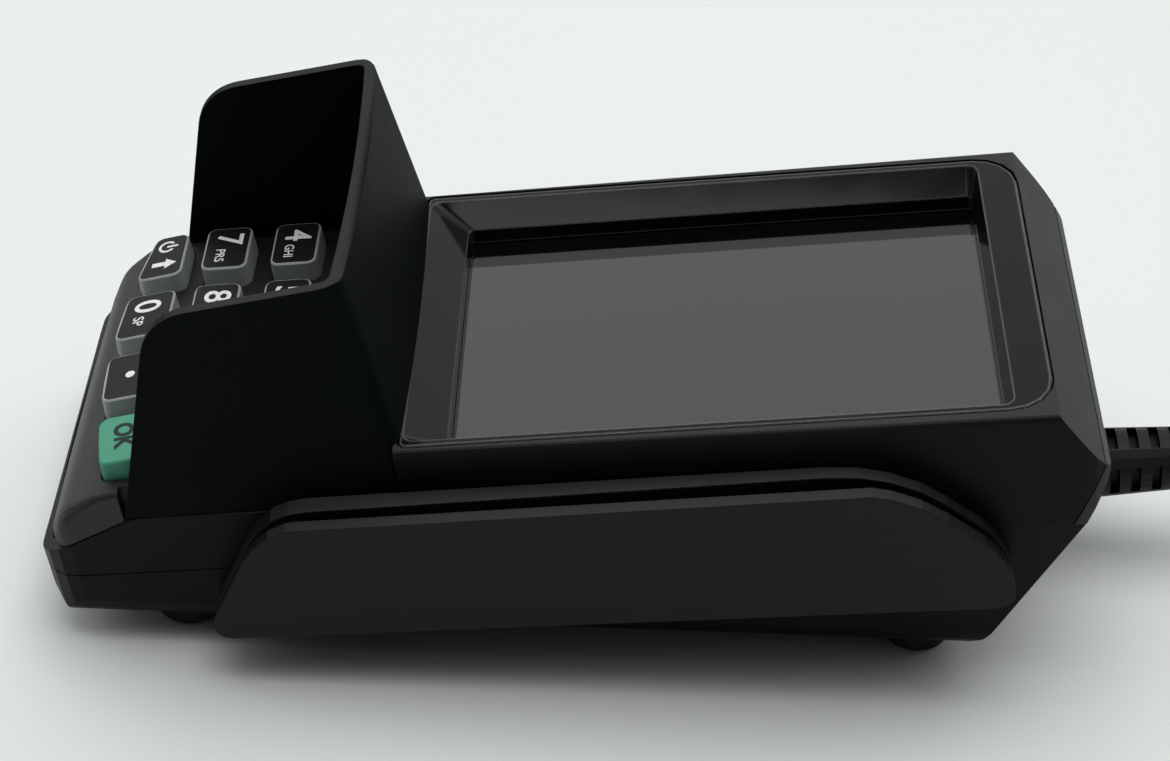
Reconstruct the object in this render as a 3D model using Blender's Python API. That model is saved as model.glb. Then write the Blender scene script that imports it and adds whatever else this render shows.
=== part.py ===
"""Counter-top payment terminal: keypad with a privacy shield, touch screen, card swipe rail and captive cord.

The casing is modelled lying flat, in casing coordinates: x across, v along the casing from keypad to
cord, w up from the display plane, with the middle of the screen bezel at zero. One empty then tilts
and lifts the whole casing onto its feet. Feet and cord are placed in ground coordinates.
"""

import math

import bmesh
import bpy
from mathutils import Matrix, Vector

# Casing, driving sizes
TILT = math.radians(7.5)
BEZEL_LENGTH = 0.1150
BEZEL_WIDTH = 0.0750
SIDE_RIM = 0.0027
FRONT_RIM = 0.0009
NOSE_REACH = 0.0718
NOSE_NARROWING = 0.0020
NOSE_ARC_RADIUS = 0.400
NOSE_CORNER_RADIUS = 0.0075
REAR_CORNER_RADIUS = 0.0050
BOW_SHARES = (-0.6, -0.3, 0.0, 0.3, 0.6)
BODY_WALL = 0.0022
FIT = 0.0003
OVERRUN = 0.0100

# Casing, heights below the display plane
DECK_DROP = 0.0050
SEAM_DROP = 0.0123
PARTING_DROP = 0.0255

# Casing, rear end
RIDGE_REACH = 0.0098
RIDGE_DROP = 0.0152
RIDGE_RADIUS = 0.0008
REAR_PARTING_REACH = 0.0052
REAR_LEAN = math.radians(30.5)
REAR_BOTTOM_RADIUS = 0.0080
REAR_COVER_THICKNESS = 0.0020

# Casing, underside
FOOT_HEIGHT = 0.0053
LOWER_NOSE_DEPTH = 0.010935
UNDERSIDE_SIDE_SETBACK = 0.0024
LOWER_FLOOR = 0.0045
INNER_HEEL_RADIUS = 0.0020
UNDERSIDE_EDGE_RADIUS = 0.0060
SIDE_DRAFT = math.radians(3.0)
NOSE_BOTTOM_SETBACK = 0.0050
NOSE_BOTTOM_RADIUS = 0.0070
TOP_EDGE_RADIUS = 0.0012

# Keypad deck
DECK_EDGE_RADIUS = 0.0035
DECK_SHOULDER_RADIUS = 0.0012
DECK_THICKNESS = 0.0034
DECK_SKIN = 0.0020
DECK_RIM = 0.0009
DECK_CORNER_RADIUS = 0.0040
DECK_OVERSHOOT_SHARE = 0.45
DECK_KNEE_SETBACK = 0.0165
DECK_KNEE_FALL = 0.0012
DECK_KNEE_RADIUS = 0.0160
DECK_BROW_SETBACK = 0.0080
DECK_BROW_FALL = 0.0065
DECK_BROW_RADIUS = 0.0090
NOSE_EDGE_SETBACK = 0.0036
NOSE_EDGE_FALL = 0.0140
NOSE_FACE_SETBACK = 0.0018
SEAM_KNEE_SETBACK = 0.0218
SEAM_KNEE_RADIUS = 0.0080
SEAM_FOOT_SETBACK = 0.0053
SEAM_FOOT_FALL = 0.0075
SEAM_FOOT_RADIUS = 0.0060
SEAM_TIP_FALL = 0.0094

# Keys
KEYPAD_SIDE_MARGIN = 0.0038
KEY_GAP = 0.0045
KEY_TOP_DROP = 0.0013
KEY_TAPER = 0.0002
KEY_EDGE = 0.0003
KEY_CORNER_RADIUS = 0.0020
KEY_FLANGE = 0.0008
KEY_FLANGE_THICKNESS = 0.0013
KEY_TRAVEL = 0.0010
KEY_CLEARANCE = 0.0003
KEYPAD_REAR_MARGIN = 0.00635
KEYPAD_NOSE_MARGIN = 0.01285
ROW_GAP = 0.0043
FRONT_ROW_GAP = 0.0035
FRONT_KEY_EXTRA = 0.0016
FRONT_KEY_TOP_DROP = 0.0017
FRONT_ARC_RADIUS = 0.152
FRONT_KEY_SLOPE = math.radians(9.0)

# Keypad mat and main board
DOME_HEIGHT = 0.0007
DOME_RADIUS = 0.0036
DOME_TOP_RADIUS = 0.0024
MAT_THICKNESS = 0.0009
MAT_MARGIN = 0.0016
BOARD_THICKNESS = 0.0016
BOARD_SIDE_GAP = 0.0008
BOARD_REAR_SETBACK = 0.0095

# Screen bezel, glass and display
BEZEL_THICKNESS = 0.0081
BEZEL_EDGE = 0.0004
GLASS_SHELF = 0.0012
BEZEL_REAR_CORNER_RADIUS = 0.0080
BEZEL_FRONT_CORNER_RADIUS = 0.0015
BEZEL_SIDE_RIM = 0.0016
BEZEL_FRONT_RIM = 0.0007
REAR_STRIP = 0.0071
SIDE_SLOPE = 0.0034
FRONT_SLOPE = 0.0071
REAR_SLOPE = 0.0012
SLOPE_FALL = 0.0050
SLOPE_CORNER_RADIUS = 0.0020
WINDOW_CORNER_RADIUS = 0.0010
GLASS_THICKNESS = 0.0011
GLASS_OVERLAP = 0.0008
DISPLAY_MARGIN = 0.0035
ANTENNA_THICKNESS = 0.0010
ANTENNA_GAP = 0.0006

# Privacy shield
SHIELD_WALL = 0.0019
SHIELD_BASE_SETBACK = 0.0018
SHIELD_TOP_SETBACK = 0.0046
SHIELD_HEIGHT = 0.0351
SHIELD_TOP_FALL = 0.0044
SHIELD_FRONT_SETBACK = 0.0203
SHIELD_LEAN = math.radians(15.9)
SHIELD_FRONT_RADIUS = 0.0110
SHIELD_REAR_RADIUS = 0.0034
SHIELD_OVERHANG = 0.0020
SHIELD_BACK_LEAN = 0.0060
SHIELD_BACK_BOW = 0.0010
BACK_SHARES = (0.7, 0.35, 0.0, -0.35, -0.7)
SHIELD_BACK_CORNER_RADIUS = 0.0038
SHIELD_CORNER_CLEARANCE = 0.0005

# Card swipe rail
RAIL_INNER_WALL = 0.0023
RAIL_SLOT = 0.0020
RAIL_OUTER_WALL = 0.0025
RAIL_TOP_DROP = 0.0073
RAIL_TOP_SLOPE_FALL = 0.0019
RAIL_OUTER_STEP = 0.0012
RAIL_FRONT = 0.0402
RAIL_REAR = 0.0074
RAIL_DEPTH_FRONT = 0.0277
RAIL_DEPTH_REAR = 0.0310
RAIL_FRONT_SLOPE = 0.0148
RAIL_REAR_KNEE = 0.0210
RAIL_REAR_HIP_SETBACK = 0.0018
RAIL_REAR_HIP_FALL = 0.0190
RAIL_FRONT_RADIUS = 0.0140
RAIL_KNEE_RADIUS = 0.0300
RAIL_HIP_RADIUS = 0.0160
RAIL_BOTTOM_RADIUS = 0.0032
RAIL_SLOT_DEPTH = 0.0237

# Magnetic head and its leaf spring
HEAD_LENGTH = 0.0120
HEAD_HEIGHT = 0.0075
HEAD_DEPTH = 0.0100
HEAD_NOSE = 0.0006
HEAD_NOSE_BEVEL = 0.0012
HEAD_SETBACK = 0.0375
HEAD_DROP = 0.0195
HEAD_CLEARANCE = 0.0004
LEAF_THICKNESS = 0.0004
LEAF_HEIGHT = 0.0050
LEAF_LENGTH = 0.0270
LEAF_POST = 0.0030

# Chip card reader
CARD_WIDTH = 0.0540
CARD_CLEARANCE = 0.0008
CARD_SLOT_HEIGHT = 0.0022
CARD_NOTCH_HEIGHT = 0.0027
CARD_NOTCH_SIDE = 0.0010
READER_SIDE_WALL = 0.0025
READER_LENGTH = 0.0525
READER_ROOF = 0.0017
READER_STEP = 0.0050
READER_FLOOR = 0.0014
READER_STOP = 0.0040
READER_FRONT_GAP = 0.0026

# Screws, bosses and posts
SCREW_SIDE_SETBACK = 0.0080
FRONT_SCREW_SETBACK = 0.0115
REAR_SCREW_SETBACK = 0.0370
SCREW_RADIUS = 0.0010
SCREW_HEAD_RADIUS = 0.0018
SCREW_HEAD_HEIGHT = 0.0015
SCREW_LENGTH = 0.0110
SCREW_CLEARANCE = 0.0003
BOSS_WALL = 0.0009
UPPER_BOSS_RADIUS = 0.0026
POST_RADIUS = 0.0024
POST_READER_GAP = 0.0007
POST_FROM_NOSE = 0.0240

# Bottom cover and its screw
COVER_THICKNESS = 0.0022
COVER_SIDE_SETBACK = 0.0033
COVER_NOSE_SETBACK = 0.0125
COVER_REAR_SETBACK = 0.0415
COVER_CORNER_RADIUS = 0.0030
COVER_SCREW_SETBACK = 0.0060
COVER_SCREW_LENGTH = 0.0040
COVER_SCREW_HEAD_HEIGHT = 0.0011
COVER_SCREW_SINK = 0.0002

# Feet
FOOT_RADIUS = 0.0065
FOOT_EDGE = 0.0008
FOOT_RECESS = 0.0006
FOOT_SIDE_SETBACK = 0.0132
FRONT_FOOT_FROM_NOSE = 0.0250
REAR_FOOT_SETBACK = 0.0245

# Speaker, battery and cable socket
SPEAKER_RADIUS = 0.0095
SPEAKER_MAGNET_RADIUS = 0.0060
SPEAKER_HEIGHT = 0.0045
SPEAKER_SETBACK = 0.0290
GRILLE_SLOT_WIDTH = 0.0012
GRILLE_SLOT_LENGTH = 0.0100
GRILLE_PITCH = 0.0026
GRILLE_SLOTS = 5
BATTERY_RADIUS = 0.0100
BATTERY_HEIGHT = 0.0042
BATTERY_SETBACK = 0.0325
SOCKET_WIDTH = 0.0140
SOCKET_LENGTH = 0.0080
SOCKET_HEIGHT = 0.0060
SOCKET_SETBACK = 0.0175

# Cable boot
BOOT_DROP = 0.0473
BOOT_START_RADIUS = 0.0073
BOOT_END_RADIUS = 0.0058
BOOT_RIBS = 9
BOOT_STAND_OFF = 0.0034
BOOT_PITCH = 0.0040
BOOT_RIB_SHARE = 0.54
BOOT_WEB_SETBACK = 0.0008
BOOT_CORE_RADIUS = 0.0038
BOOT_NECK_RADIUS = 0.0050
BOOT_FLANGE_RADIUS = 0.0062
BOOT_FLANGE_SETBACK = 0.0069
BOOT_STEPS = 24
BOOT_FLANGE_THICKNESS = 0.0020

# Cord, in ground coordinates
CORD_RADIUS = 0.0030
CORD_STEP = 0.0066
COIL_RADIUS = 0.0330
COIL_TURNS_IN_A_LAYER = 2
COIL_LAYERS = 5
COIL_HALF_TURNS = 17
COIL_POINTS_IN_A_TURN = 24
COIL_FROM_ORIGIN = 0.2040
CLIMB_TURN_SHARE = 0.5
HALF_SHARE = 0.5
COIL_RING_STEPS = 1
CORD_RING_STEPS = 2
ROUTE_STEPS = 24
LEAD_ROUTE = (
    (-0.00355, 0.1340, 0.02430),
    (-0.00203, 0.1435, 0.02390),
    (0.00239, 0.1520, 0.02190),
    (0.00926, 0.1587, 0.01840),
    (0.01790, 0.1630, 0.01410),
    (0.02680, 0.1673, 0.00980),
    (0.03370, 0.1740, 0.00620),
    (0.03810, 0.1825, 0.00390),
    (0.03960, 0.1920, 0.00305),
)
TAIL_ROUTE = (
    (-0.0354, 0.1913, 0.02945),
    (-0.0328, 0.1850, 0.02955),
    (-0.0287, 0.1796, 0.02965),
    (-0.0233, 0.1755, 0.02975),
    (-0.0170, 0.1729, 0.02980),
    (-0.0107, 0.1720, 0.02980),
    (-0.0100, 0.1720, 0.02980),
)
PLUG_GRIP_LENGTH = 0.0270
PLUG_GRIP_WIDTH = 0.0160
PLUG_GRIP_HEIGHT = 0.0066
PLUG_GRIP_EDGE = 0.0018
PLUG_SHELL_LENGTH = 0.0140
PLUG_SHELL_WIDTH = 0.0120
PLUG_SHELL_HEIGHT = 0.0045
PLUG_SHELL_WALL = 0.0004

# Facets
CORNER_STEPS = 4
ROUND_STEPS = 20
SMALL_ROUND_STEPS = 14

BEZEL_FRONT = -BEZEL_LENGTH / 2
BEZEL_REAR = BEZEL_LENGTH / 2
BODY_HALF_WIDTH = BEZEL_WIDTH / 2 + SIDE_RIM
NOSE_HALF_WIDTH = BODY_HALF_WIDTH - NOSE_NARROWING
NOSE_TIP = BEZEL_FRONT - NOSE_REACH
BLOCK_FRONT = BEZEL_FRONT - FRONT_RIM
RIDGE = BEZEL_REAR + RIDGE_REACH
REAR_PARTING = BEZEL_REAR + REAR_PARTING_REACH
COS_TILT = math.cos(TILT)
SIN_TILT = math.sin(TILT)
DISPLAY_HEIGHT = FOOT_HEIGHT + (PARTING_DROP + LOWER_NOSE_DEPTH) * COS_TILT - NOSE_TIP * SIN_TILT

NOSE_GROUND_Y = NOSE_TIP * COS_TILT + PARTING_DROP * SIN_TILT
RIDGE_GROUND_Y = RIDGE * COS_TILT + RIDGE_DROP * SIN_TILT
RAIL_OUTER_X = BODY_HALF_WIDTH + FIT + RAIL_INNER_WALL + RAIL_SLOT + RAIL_OUTER_WALL
CASING_ORIGIN = Vector((
    (BODY_HALF_WIDTH - RAIL_OUTER_X) / 2,
    -(NOSE_GROUND_Y + RIDGE_GROUND_Y) / 2,
    DISPLAY_HEIGHT,
))

KEY_FLANGE_TOP = -DECK_DROP - DECK_THICKNESS - FIT
KEY_BOTTOM = KEY_FLANGE_TOP - KEY_FLANGE_THICKNESS
DOME_TOP = KEY_BOTTOM - KEY_TRAVEL - FIT
MAT_TOP = DOME_TOP - DOME_HEIGHT
BOARD_TOP = MAT_TOP - MAT_THICKNESS - FIT
BOARD_BOTTOM = BOARD_TOP - BOARD_THICKNESS
GLASS_TOP = -BEZEL_THICKNESS - FIT
GLASS_SEAT = GLASS_TOP - GLASS_THICKNESS - FIT
FLOOR_BOTTOM = GLASS_SEAT - GLASS_SHELF
WINDOW_HALF_WIDTH = BEZEL_WIDTH / 2 - BEZEL_SIDE_RIM - SIDE_SLOPE
WINDOW_FRONT = BEZEL_FRONT + BEZEL_FRONT_RIM + FRONT_SLOPE
WINDOW_REAR = BEZEL_REAR - REAR_STRIP - REAR_SLOPE

KEY_PITCH = (BODY_HALF_WIDTH - KEYPAD_SIDE_MARGIN) / 2
KEY_WIDTH = KEY_PITCH - KEY_GAP
KEYPAD_REAR = BLOCK_FRONT - KEYPAD_REAR_MARGIN
KEYPAD_LENGTH = KEYPAD_REAR - NOSE_TIP - KEYPAD_NOSE_MARGIN
KEY_DEPTH = (KEYPAD_LENGTH - 2 * ROW_GAP - FRONT_ROW_GAP - FRONT_KEY_EXTRA) / 4
FRONT_KEY_DEPTH = KEY_DEPTH + FRONT_KEY_EXTRA
ROW_PITCH = KEY_DEPTH + ROW_GAP
UNDERSIDE_HALF_WIDTH = BODY_HALF_WIDTH - UNDERSIDE_SIDE_SETBACK
SHIELD_BASE_HALF_WIDTH = BODY_HALF_WIDTH - SHIELD_BASE_SETBACK
SHIELD_TOP_HALF_WIDTH = BODY_HALF_WIDTH - SHIELD_TOP_SETBACK
COVER_HALF_WIDTH = UNDERSIDE_HALF_WIDTH - COVER_SIDE_SETBACK
SCREW_SPREAD = BODY_HALF_WIDTH - SCREW_SIDE_SETBACK
FOOT_SPREAD = BODY_HALF_WIDTH - FOOT_SIDE_SETBACK
READER_HALF_WIDTH = CARD_WIDTH / 2 + CARD_CLEARANCE / 2 + READER_SIDE_WALL
POST_SPREAD = READER_HALF_WIDTH + POST_READER_GAP + POST_RADIUS
COVER_REAR = BEZEL_REAR - COVER_REAR_SETBACK


def clear_scene():
    for thing in list(bpy.data.objects):
        bpy.data.objects.remove(thing, do_unlink=True)


clear_scene()
parts = bpy.data.collections.new("payment_terminal")
cutters = bpy.data.collections.new("cutters")
bpy.context.scene.collection.children.link(parts)
bpy.context.scene.collection.children.link(cutters)

casing = bpy.data.objects.new("casing", None)
casing.location = CASING_ORIGIN
casing.rotation_euler = (TILT, 0, 0)
parts.objects.link(casing)


def finish(name, color, roughness, metallic=0.0):
    made = bpy.data.materials.new(name)
    made.use_nodes = True
    shader = made.node_tree.nodes["Principled BSDF"]
    shader.inputs["Base Color"].default_value = (*color, 1)
    shader.inputs["Roughness"].default_value = roughness
    shader.inputs["Metallic"].default_value = metallic
    made.diffuse_color = (*color, 1)
    return made


HOUSING_PLASTIC = finish("housing_plastic", (0.030, 0.031, 0.033), 0.60)
DECK_PLASTIC = finish("deck_plastic", (0.075, 0.072, 0.070), 0.60)
SHIELD_PLASTIC = finish("shield_plastic", (0.010, 0.011, 0.012), 0.65)
GLOSS_PLASTIC = finish("gloss_plastic", (0.008, 0.008, 0.009), 0.12)
KEY_PLASTIC = finish("key_plastic", (0.30, 0.30, 0.31), 0.45)
GREEN_PLASTIC = finish("green_plastic", (0.10, 0.42, 0.28), 0.40)
DARK_GLASS = finish("dark_glass", (0.08, 0.08, 0.08), 0.15)
STEEL = finish("steel", (0.60, 0.60, 0.62), 0.35, 1.0)
RED_PLASTIC = finish("red_plastic", (0.45, 0.05, 0.04), 0.40)
AMBER_PLASTIC = finish("amber_plastic", (0.62, 0.36, 0.05), 0.40)
BOARD_GREEN = finish("board_green", (0.02, 0.16, 0.07), 0.45)
SILICONE = finish("silicone", (0.45, 0.45, 0.44), 0.70)
BLACK_PLASTIC = finish("black_plastic", (0.02, 0.02, 0.02), 0.50)
RUBBER = finish("rubber", (0.02, 0.02, 0.02), 0.80)


def corner_arc(before, corner, after, radius, steps):
    """Points of the fillet that rounds one corner of an outline."""
    inward = (before - corner).normalized()
    outward = (after - corner).normalized()
    half = inward.angle(outward) / 2
    most = min((before - corner).length, (after - corner).length) * math.tan(half) / 2
    radius = min(radius, most)
    if radius <= 0 or half > math.pi / 2 - math.radians(0.5):
        return [corner]
    reach = radius / math.tan(half)
    centre = corner + (inward + outward).normalized() * (radius / math.sin(half))
    first = corner + inward * reach - centre
    last = corner + outward * reach - centre
    turn = first.angle_signed(last)
    spins = [Matrix.Rotation(-turn * step / steps, 2) for step in range(steps + 1)]
    return [centre + spin @ first for spin in spins]


def rounded(corners, steps=CORNER_STEPS):
    """Closed outline through (a, b, radius) corners."""
    places = [Vector(corner[:2]) for corner in corners]
    outline = []
    for index, (_, _, radius) in enumerate(corners):
        before = places[index - 1]
        after = places[(index + 1) % len(places)]
        outline += corner_arc(before, places[index], after, radius, steps)
    return outline


def inset(corners, distance):
    """The same corners moved inwards, given anticlockwise; fillets shrink with them."""
    places = [Vector(corner[:2]) for corner in corners]
    moved = []
    for index, (_, _, radius) in enumerate(corners):
        along_in = (places[index] - places[index - 1]).normalized()
        along_out = (places[(index + 1) % len(places)] - places[index]).normalized()
        normal_in = Vector((-along_in.y, along_in.x))
        normal_out = Vector((-along_out.y, along_out.x))
        bisector = (normal_in + normal_out).normalized()
        place = places[index] + bisector * (distance / bisector.dot(normal_in))
        moved.append((place.x, place.y, max(radius - distance, 0) if radius else 0))
    return moved


def rectangle(left, right, low, high, radius=0):
    return [(left, low, radius), (right, low, radius), (right, high, radius), (left, high, radius)]


def bezel_corners():
    front, rear = BEZEL_FRONT_CORNER_RADIUS, BEZEL_REAR_CORNER_RADIUS
    half = BEZEL_WIDTH / 2
    return [
        (-half, BEZEL_FRONT, front),
        (half, BEZEL_FRONT, front),
        (half, BEZEL_REAR, rear),
        (-half, BEZEL_REAR, rear),
    ]


ACROSS = Matrix(((0, 0, 1, 0), (1, 0, 0, 0), (0, 1, 0, 0), (0, 0, 0, 1)))
ALONG = Matrix(((1, 0, 0, 0), (0, 0, -1, 0), (0, 1, 0, 0), (0, 0, 0, 1)))
UPWARD = Matrix.Identity(4)


def made_mesh(curve_object):
    """The curve's evaluated shape as a welded mesh object; the curve itself is removed."""
    bpy.context.view_layer.update()
    evaluated = curve_object.evaluated_get(bpy.context.evaluated_depsgraph_get())
    mesh = bpy.data.meshes.new_from_object(evaluated)
    mesh.transform(curve_object.matrix_world)
    shape = bmesh.new()
    shape.from_mesh(mesh)
    bmesh.ops.remove_doubles(shape, verts=shape.verts, dist=FIT / 100)
    bmesh.ops.recalc_face_normals(shape, faces=shape.faces)
    shape.to_mesh(mesh)
    shape.free()
    name = curve_object.name
    bpy.data.objects.remove(curve_object, do_unlink=True)
    made = bpy.data.objects.new(name, mesh)
    return made


def slab(name, outlines, low, high, facing=UPWARD):
    """Flat outlines, given thickness from low to high along the direction that they face."""
    curve = bpy.data.curves.new(name, "CURVE")
    curve.dimensions = "2D"
    curve.fill_mode = "BOTH"
    curve.extrude = (high - low) / 2
    for outline in outlines:
        spline = curve.splines.new("POLY")
        spline.points.add(len(outline) - 1)
        for point, place in zip(spline.points, outline):
            point.co = (place[0], place[1], 0, 1)
        spline.use_cyclic_u = True
    flat = bpy.data.objects.new(name, curve)
    bpy.context.scene.collection.objects.link(flat)
    flat.matrix_world = facing @ Matrix.Translation((0, 0, (low + high) / 2))
    return made_mesh(flat)


def round_bar(name, radius, low, high, place, steps=ROUND_STEPS, end_radius=None, facing=UPWARD):
    """Cylinder or cone that stands on a place in the plan, from low to high."""
    shape = bmesh.new()
    bmesh.ops.create_cone(
        shape,
        cap_ends=True,
        segments=steps,
        radius1=radius,
        radius2=radius if end_radius is None else end_radius,
        depth=high - low,
        matrix=facing @ Matrix.Translation((place[0], place[1], (low + high) / 2)),
    )
    return from_bmesh(name, shape)


def block(name, low, high):
    """Box between two corners."""
    shape = bmesh.new()
    size = Vector(high) - Vector(low)
    middle = (Vector(high) + Vector(low)) / 2
    bmesh.ops.create_cube(shape, size=1, matrix=Matrix.Translation(middle) @ Matrix.Diagonal((*size, 1)))
    return from_bmesh(name, shape)


def from_bmesh(name, shape):
    mesh = bpy.data.meshes.new(name)
    shape.to_mesh(mesh)
    shape.free()
    return bpy.data.objects.new(name, mesh)


def joined(name, pieces):
    """Several separate meshes as one guide object."""
    shape = bmesh.new()
    for piece in pieces:
        shape.from_mesh(piece.data)
        bpy.data.objects.remove(piece, do_unlink=True)
    return from_bmesh(name, shape)


def circle_ring(radius, height, place, steps=ROUND_STEPS, facing=UPWARD):
    turns = [math.tau * step / steps for step in range(steps)]
    circle = [(place[0] + radius * math.cos(turn), place[1] + radius * math.sin(turn)) for turn in turns]
    return [facing @ Vector((*spot, height)) for spot in circle]


def stacked(name, levels, closed_ring=False):
    """Rings of equally many points, each extruded from the one before; ends capped or joined up."""
    shape = bmesh.new()
    first = [shape.verts.new(place) for place in levels[0]]
    if not closed_ring:
        shape.faces.new(first)
    edges = [shape.edges.get((a, b)) or shape.edges.new((a, b)) for a, b in zip(first, first[1:] + first[:1])]
    current = first
    for level in levels[1:]:
        grown = bmesh.ops.extrude_edge_only(shape, edges=edges)["geom"]
        verts = [item for item in grown if isinstance(item, bmesh.types.BMVert)]
        edges = [item for item in grown if isinstance(item, bmesh.types.BMEdge)]
        following = []
        for vert in current:
            neighbours = [edge.other_vert(vert) for edge in vert.link_edges]
            following.append(next(other for other in neighbours if other in verts))
        current = following
        for vert, place in zip(current, level):
            vert.co = place
    if closed_ring:
        bmesh.ops.remove_doubles(shape, verts=shape.verts, dist=FIT / 100)
    else:
        shape.faces.new(current)
    bmesh.ops.recalc_face_normals(shape, faces=shape.faces)
    return from_bmesh(name, shape)


def part(made, material, parent=casing, sharp=math.radians(35)):
    """Keeps an object as a sub-part with its material."""
    made.data.materials.clear()
    made.data.materials.append(material)
    made.data.shade_smooth()
    made.data.set_sharp_from_angle(angle=sharp)
    parts.objects.link(made)
    made.parent = parent
    return made


def cutter(made, parent=casing):
    """Keeps an object as a cutting or trimming guide only."""
    made.hide_render = True
    made.display_type = "WIRE"
    cutters.objects.link(made)
    made.parent = parent
    return made


def combine(target, tool, operation):
    modifier = target.modifiers.new(tool.name, "BOOLEAN")
    modifier.operation = operation
    modifier.solver = "EXACT"
    modifier.object = tool
    return target


def cut(target, tool):
    return combine(target, tool, "DIFFERENCE")


def trim(target, tool):
    return combine(target, tool, "INTERSECT")


def unite(target, tool):
    return combine(target, tool, "UNION")


def moved_origin(made, place):
    """Puts an object's origin at a place, with its shape where it was."""
    made.data.transform(Matrix.Translation(-Vector(place)))
    made.location = place
    return made


def underside_drop(v):
    """How far the flat underside lies below the display plane, as a height w."""
    return (FOOT_HEIGHT - DISPLAY_HEIGHT - v * SIN_TILT) / COS_TILT


def ground_place(x, v, w):
    """Casing coordinates to ground coordinates."""
    return CASING_ORIGIN + Vector((x, v * COS_TILT - w * SIN_TILT, v * SIN_TILT + w * COS_TILT))


def half_width(v):
    """Half the casing's width at a place along it."""
    share = (v - NOSE_TIP) / (RIDGE - NOSE_TIP)
    return NOSE_HALF_WIDTH + (BODY_HALF_WIDTH - NOSE_HALF_WIDTH) * share


def window_corners(margin, radius=WINDOW_CORNER_RADIUS):
    """The bezel's window, or what lies around or inside it at a margin."""
    half = WINDOW_HALF_WIDTH + margin
    return rectangle(-half, half, WINDOW_FRONT - margin, WINDOW_REAR + margin, radius)


DEPTH = DISPLAY_HEIGHT + OVERRUN


def plan_corners(tip=NOSE_TIP, corner=NOSE_CORNER_RADIUS):
    """The casing seen from above: bowed nose, sides that widen to the rear, rounded corners."""
    bow = [share * NOSE_HALF_WIDTH for share in BOW_SHARES]
    nose = [(x, tip + x * x / (2 * NOSE_ARC_RADIUS), 0) for x in bow]
    shoulder = tip + NOSE_HALF_WIDTH ** 2 / (2 * NOSE_ARC_RADIUS)
    return [
        (-NOSE_HALF_WIDTH, shoulder, corner),
        *nose,
        (NOSE_HALF_WIDTH, shoulder, corner),
        (BODY_HALF_WIDTH, RIDGE, REAR_CORNER_RADIUS),
        (-BODY_HALF_WIDTH, RIDGE, REAR_CORNER_RADIUS),
    ]


PLAN = plan_corners()


def plan_prism(name, distance):
    return cutter(slab(name, [rounded(inset(PLAN, distance))], -DEPTH, OVERRUN))


def edge_round(radius, steps=CORNER_STEPS):
    """Inset and fall of each level of a rounded edge, from its foot to its top."""
    turns = [math.pi / 2 * step / steps for step in range(steps + 1)]
    return [(radius * (1 - math.cos(turn)), radius * (1 - math.sin(turn))) for turn in turns]


def ring(outline, height, facing=UPWARD):
    return [facing @ Vector((place[0], place[1], height)) for place in outline]


def crossing(start, along, other, direction):
    """Where two lines of an outline meet."""
    reach = (other - start).cross(direction) / along.cross(direction)
    return start + along * reach


crown = [ring(rounded(PLAN), -DEPTH)]
crown += [ring(rounded(inset(PLAN, distance)), -fall) for distance, fall in edge_round(TOP_EDGE_RADIUS)]
plan_outer = cutter(stacked("plan_outer", crown))
plan_inner = plan_prism("plan_inner", BODY_WALL)
plan_clear = plan_prism("plan_clear", -FIT)

LEVEL = Vector((1, 0))
REAR_TOP = Vector((BEZEL_REAR, 0))
RIDGE_POINT = Vector((RIDGE, -RIDGE_DROP))
PARTING_POINT = Vector((REAR_PARTING, -PARTING_DROP))
UPPER_FACET = (RIDGE_POINT - REAR_TOP).normalized()
REAR_FACET = (PARTING_POINT - RIDGE_POINT).normalized()
REAR_INWARD = Vector((REAR_FACET.y, -REAR_FACET.x))


def behind_cover(depth):
    """Start of a line inside the rear facet and parallel to it."""
    return RIDGE_POINT + REAR_INWARD * depth


def on_upper_facet(depth):
    return crossing(REAR_TOP, UPPER_FACET, behind_cover(depth), REAR_FACET)


def at_parting(depth, height=-PARTING_DROP):
    return crossing(Vector((0, height)), LEVEL, behind_cover(depth), REAR_FACET)


SEAM = [
    (NOSE_TIP + NOSE_FACE_SETBACK, -SEAM_DROP - SEAM_TIP_FALL, 0),
    (NOSE_TIP + SEAM_FOOT_SETBACK, -SEAM_DROP - SEAM_FOOT_FALL, SEAM_FOOT_RADIUS),
    (NOSE_TIP + SEAM_KNEE_SETBACK, -SEAM_DROP, SEAM_KNEE_RADIUS),
    (BLOCK_FRONT, -SEAM_DROP, 0),
]

SCREW_PLACES = [
    (side * SCREW_SPREAD, place)
    for place in (BEZEL_FRONT + FRONT_SCREW_SETBACK, BEZEL_REAR - REAR_SCREW_SETBACK)
    for side in (-1, 1)
]
SCREW_TOP = FLOOR_BOTTOM
SCREW_SHOULDER = SCREW_TOP - SCREW_LENGTH
SLOT_LEFT = BODY_HALF_WIDTH + FIT + RAIL_INNER_WALL
SLOT_RIGHT = SLOT_LEFT + RAIL_SLOT
SLOT_MIDDLE = (SLOT_LEFT + SLOT_RIGHT) / 2
HEAD_FRONT = SLOT_LEFT + HEAD_NOSE
HEAD_BACK = HEAD_FRONT - HEAD_DEPTH
HEAD_PLACE = Vector(((HEAD_FRONT + HEAD_BACK) / 2, BEZEL_FRONT + HEAD_SETBACK, -HEAD_DROP))
CARD_NOTCH_TOP = -PARTING_DROP + CARD_NOTCH_HEIGHT
READER_SLOT_TOP = CARD_NOTCH_TOP - FIT
READER_SLOT_BOTTOM = READER_SLOT_TOP - CARD_SLOT_HEIGHT


def bars(name, places, radius, low, high):
    """Upright cylinders at several places, as one guide."""
    return joined(name, [round_bar(name, radius, low, high, place, SMALL_ROUND_STEPS) for place in places])


def head_opening(name, clearance, left, right):
    middle = HEAD_PLACE
    reach = Vector((0, HEAD_LENGTH / 2 + clearance, HEAD_HEIGHT / 2 + clearance))
    low = Vector((left, middle.y, middle.z)) - reach
    high = Vector((right, middle.y, middle.z)) + reach
    return cutter(block(name, low, high))


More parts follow.
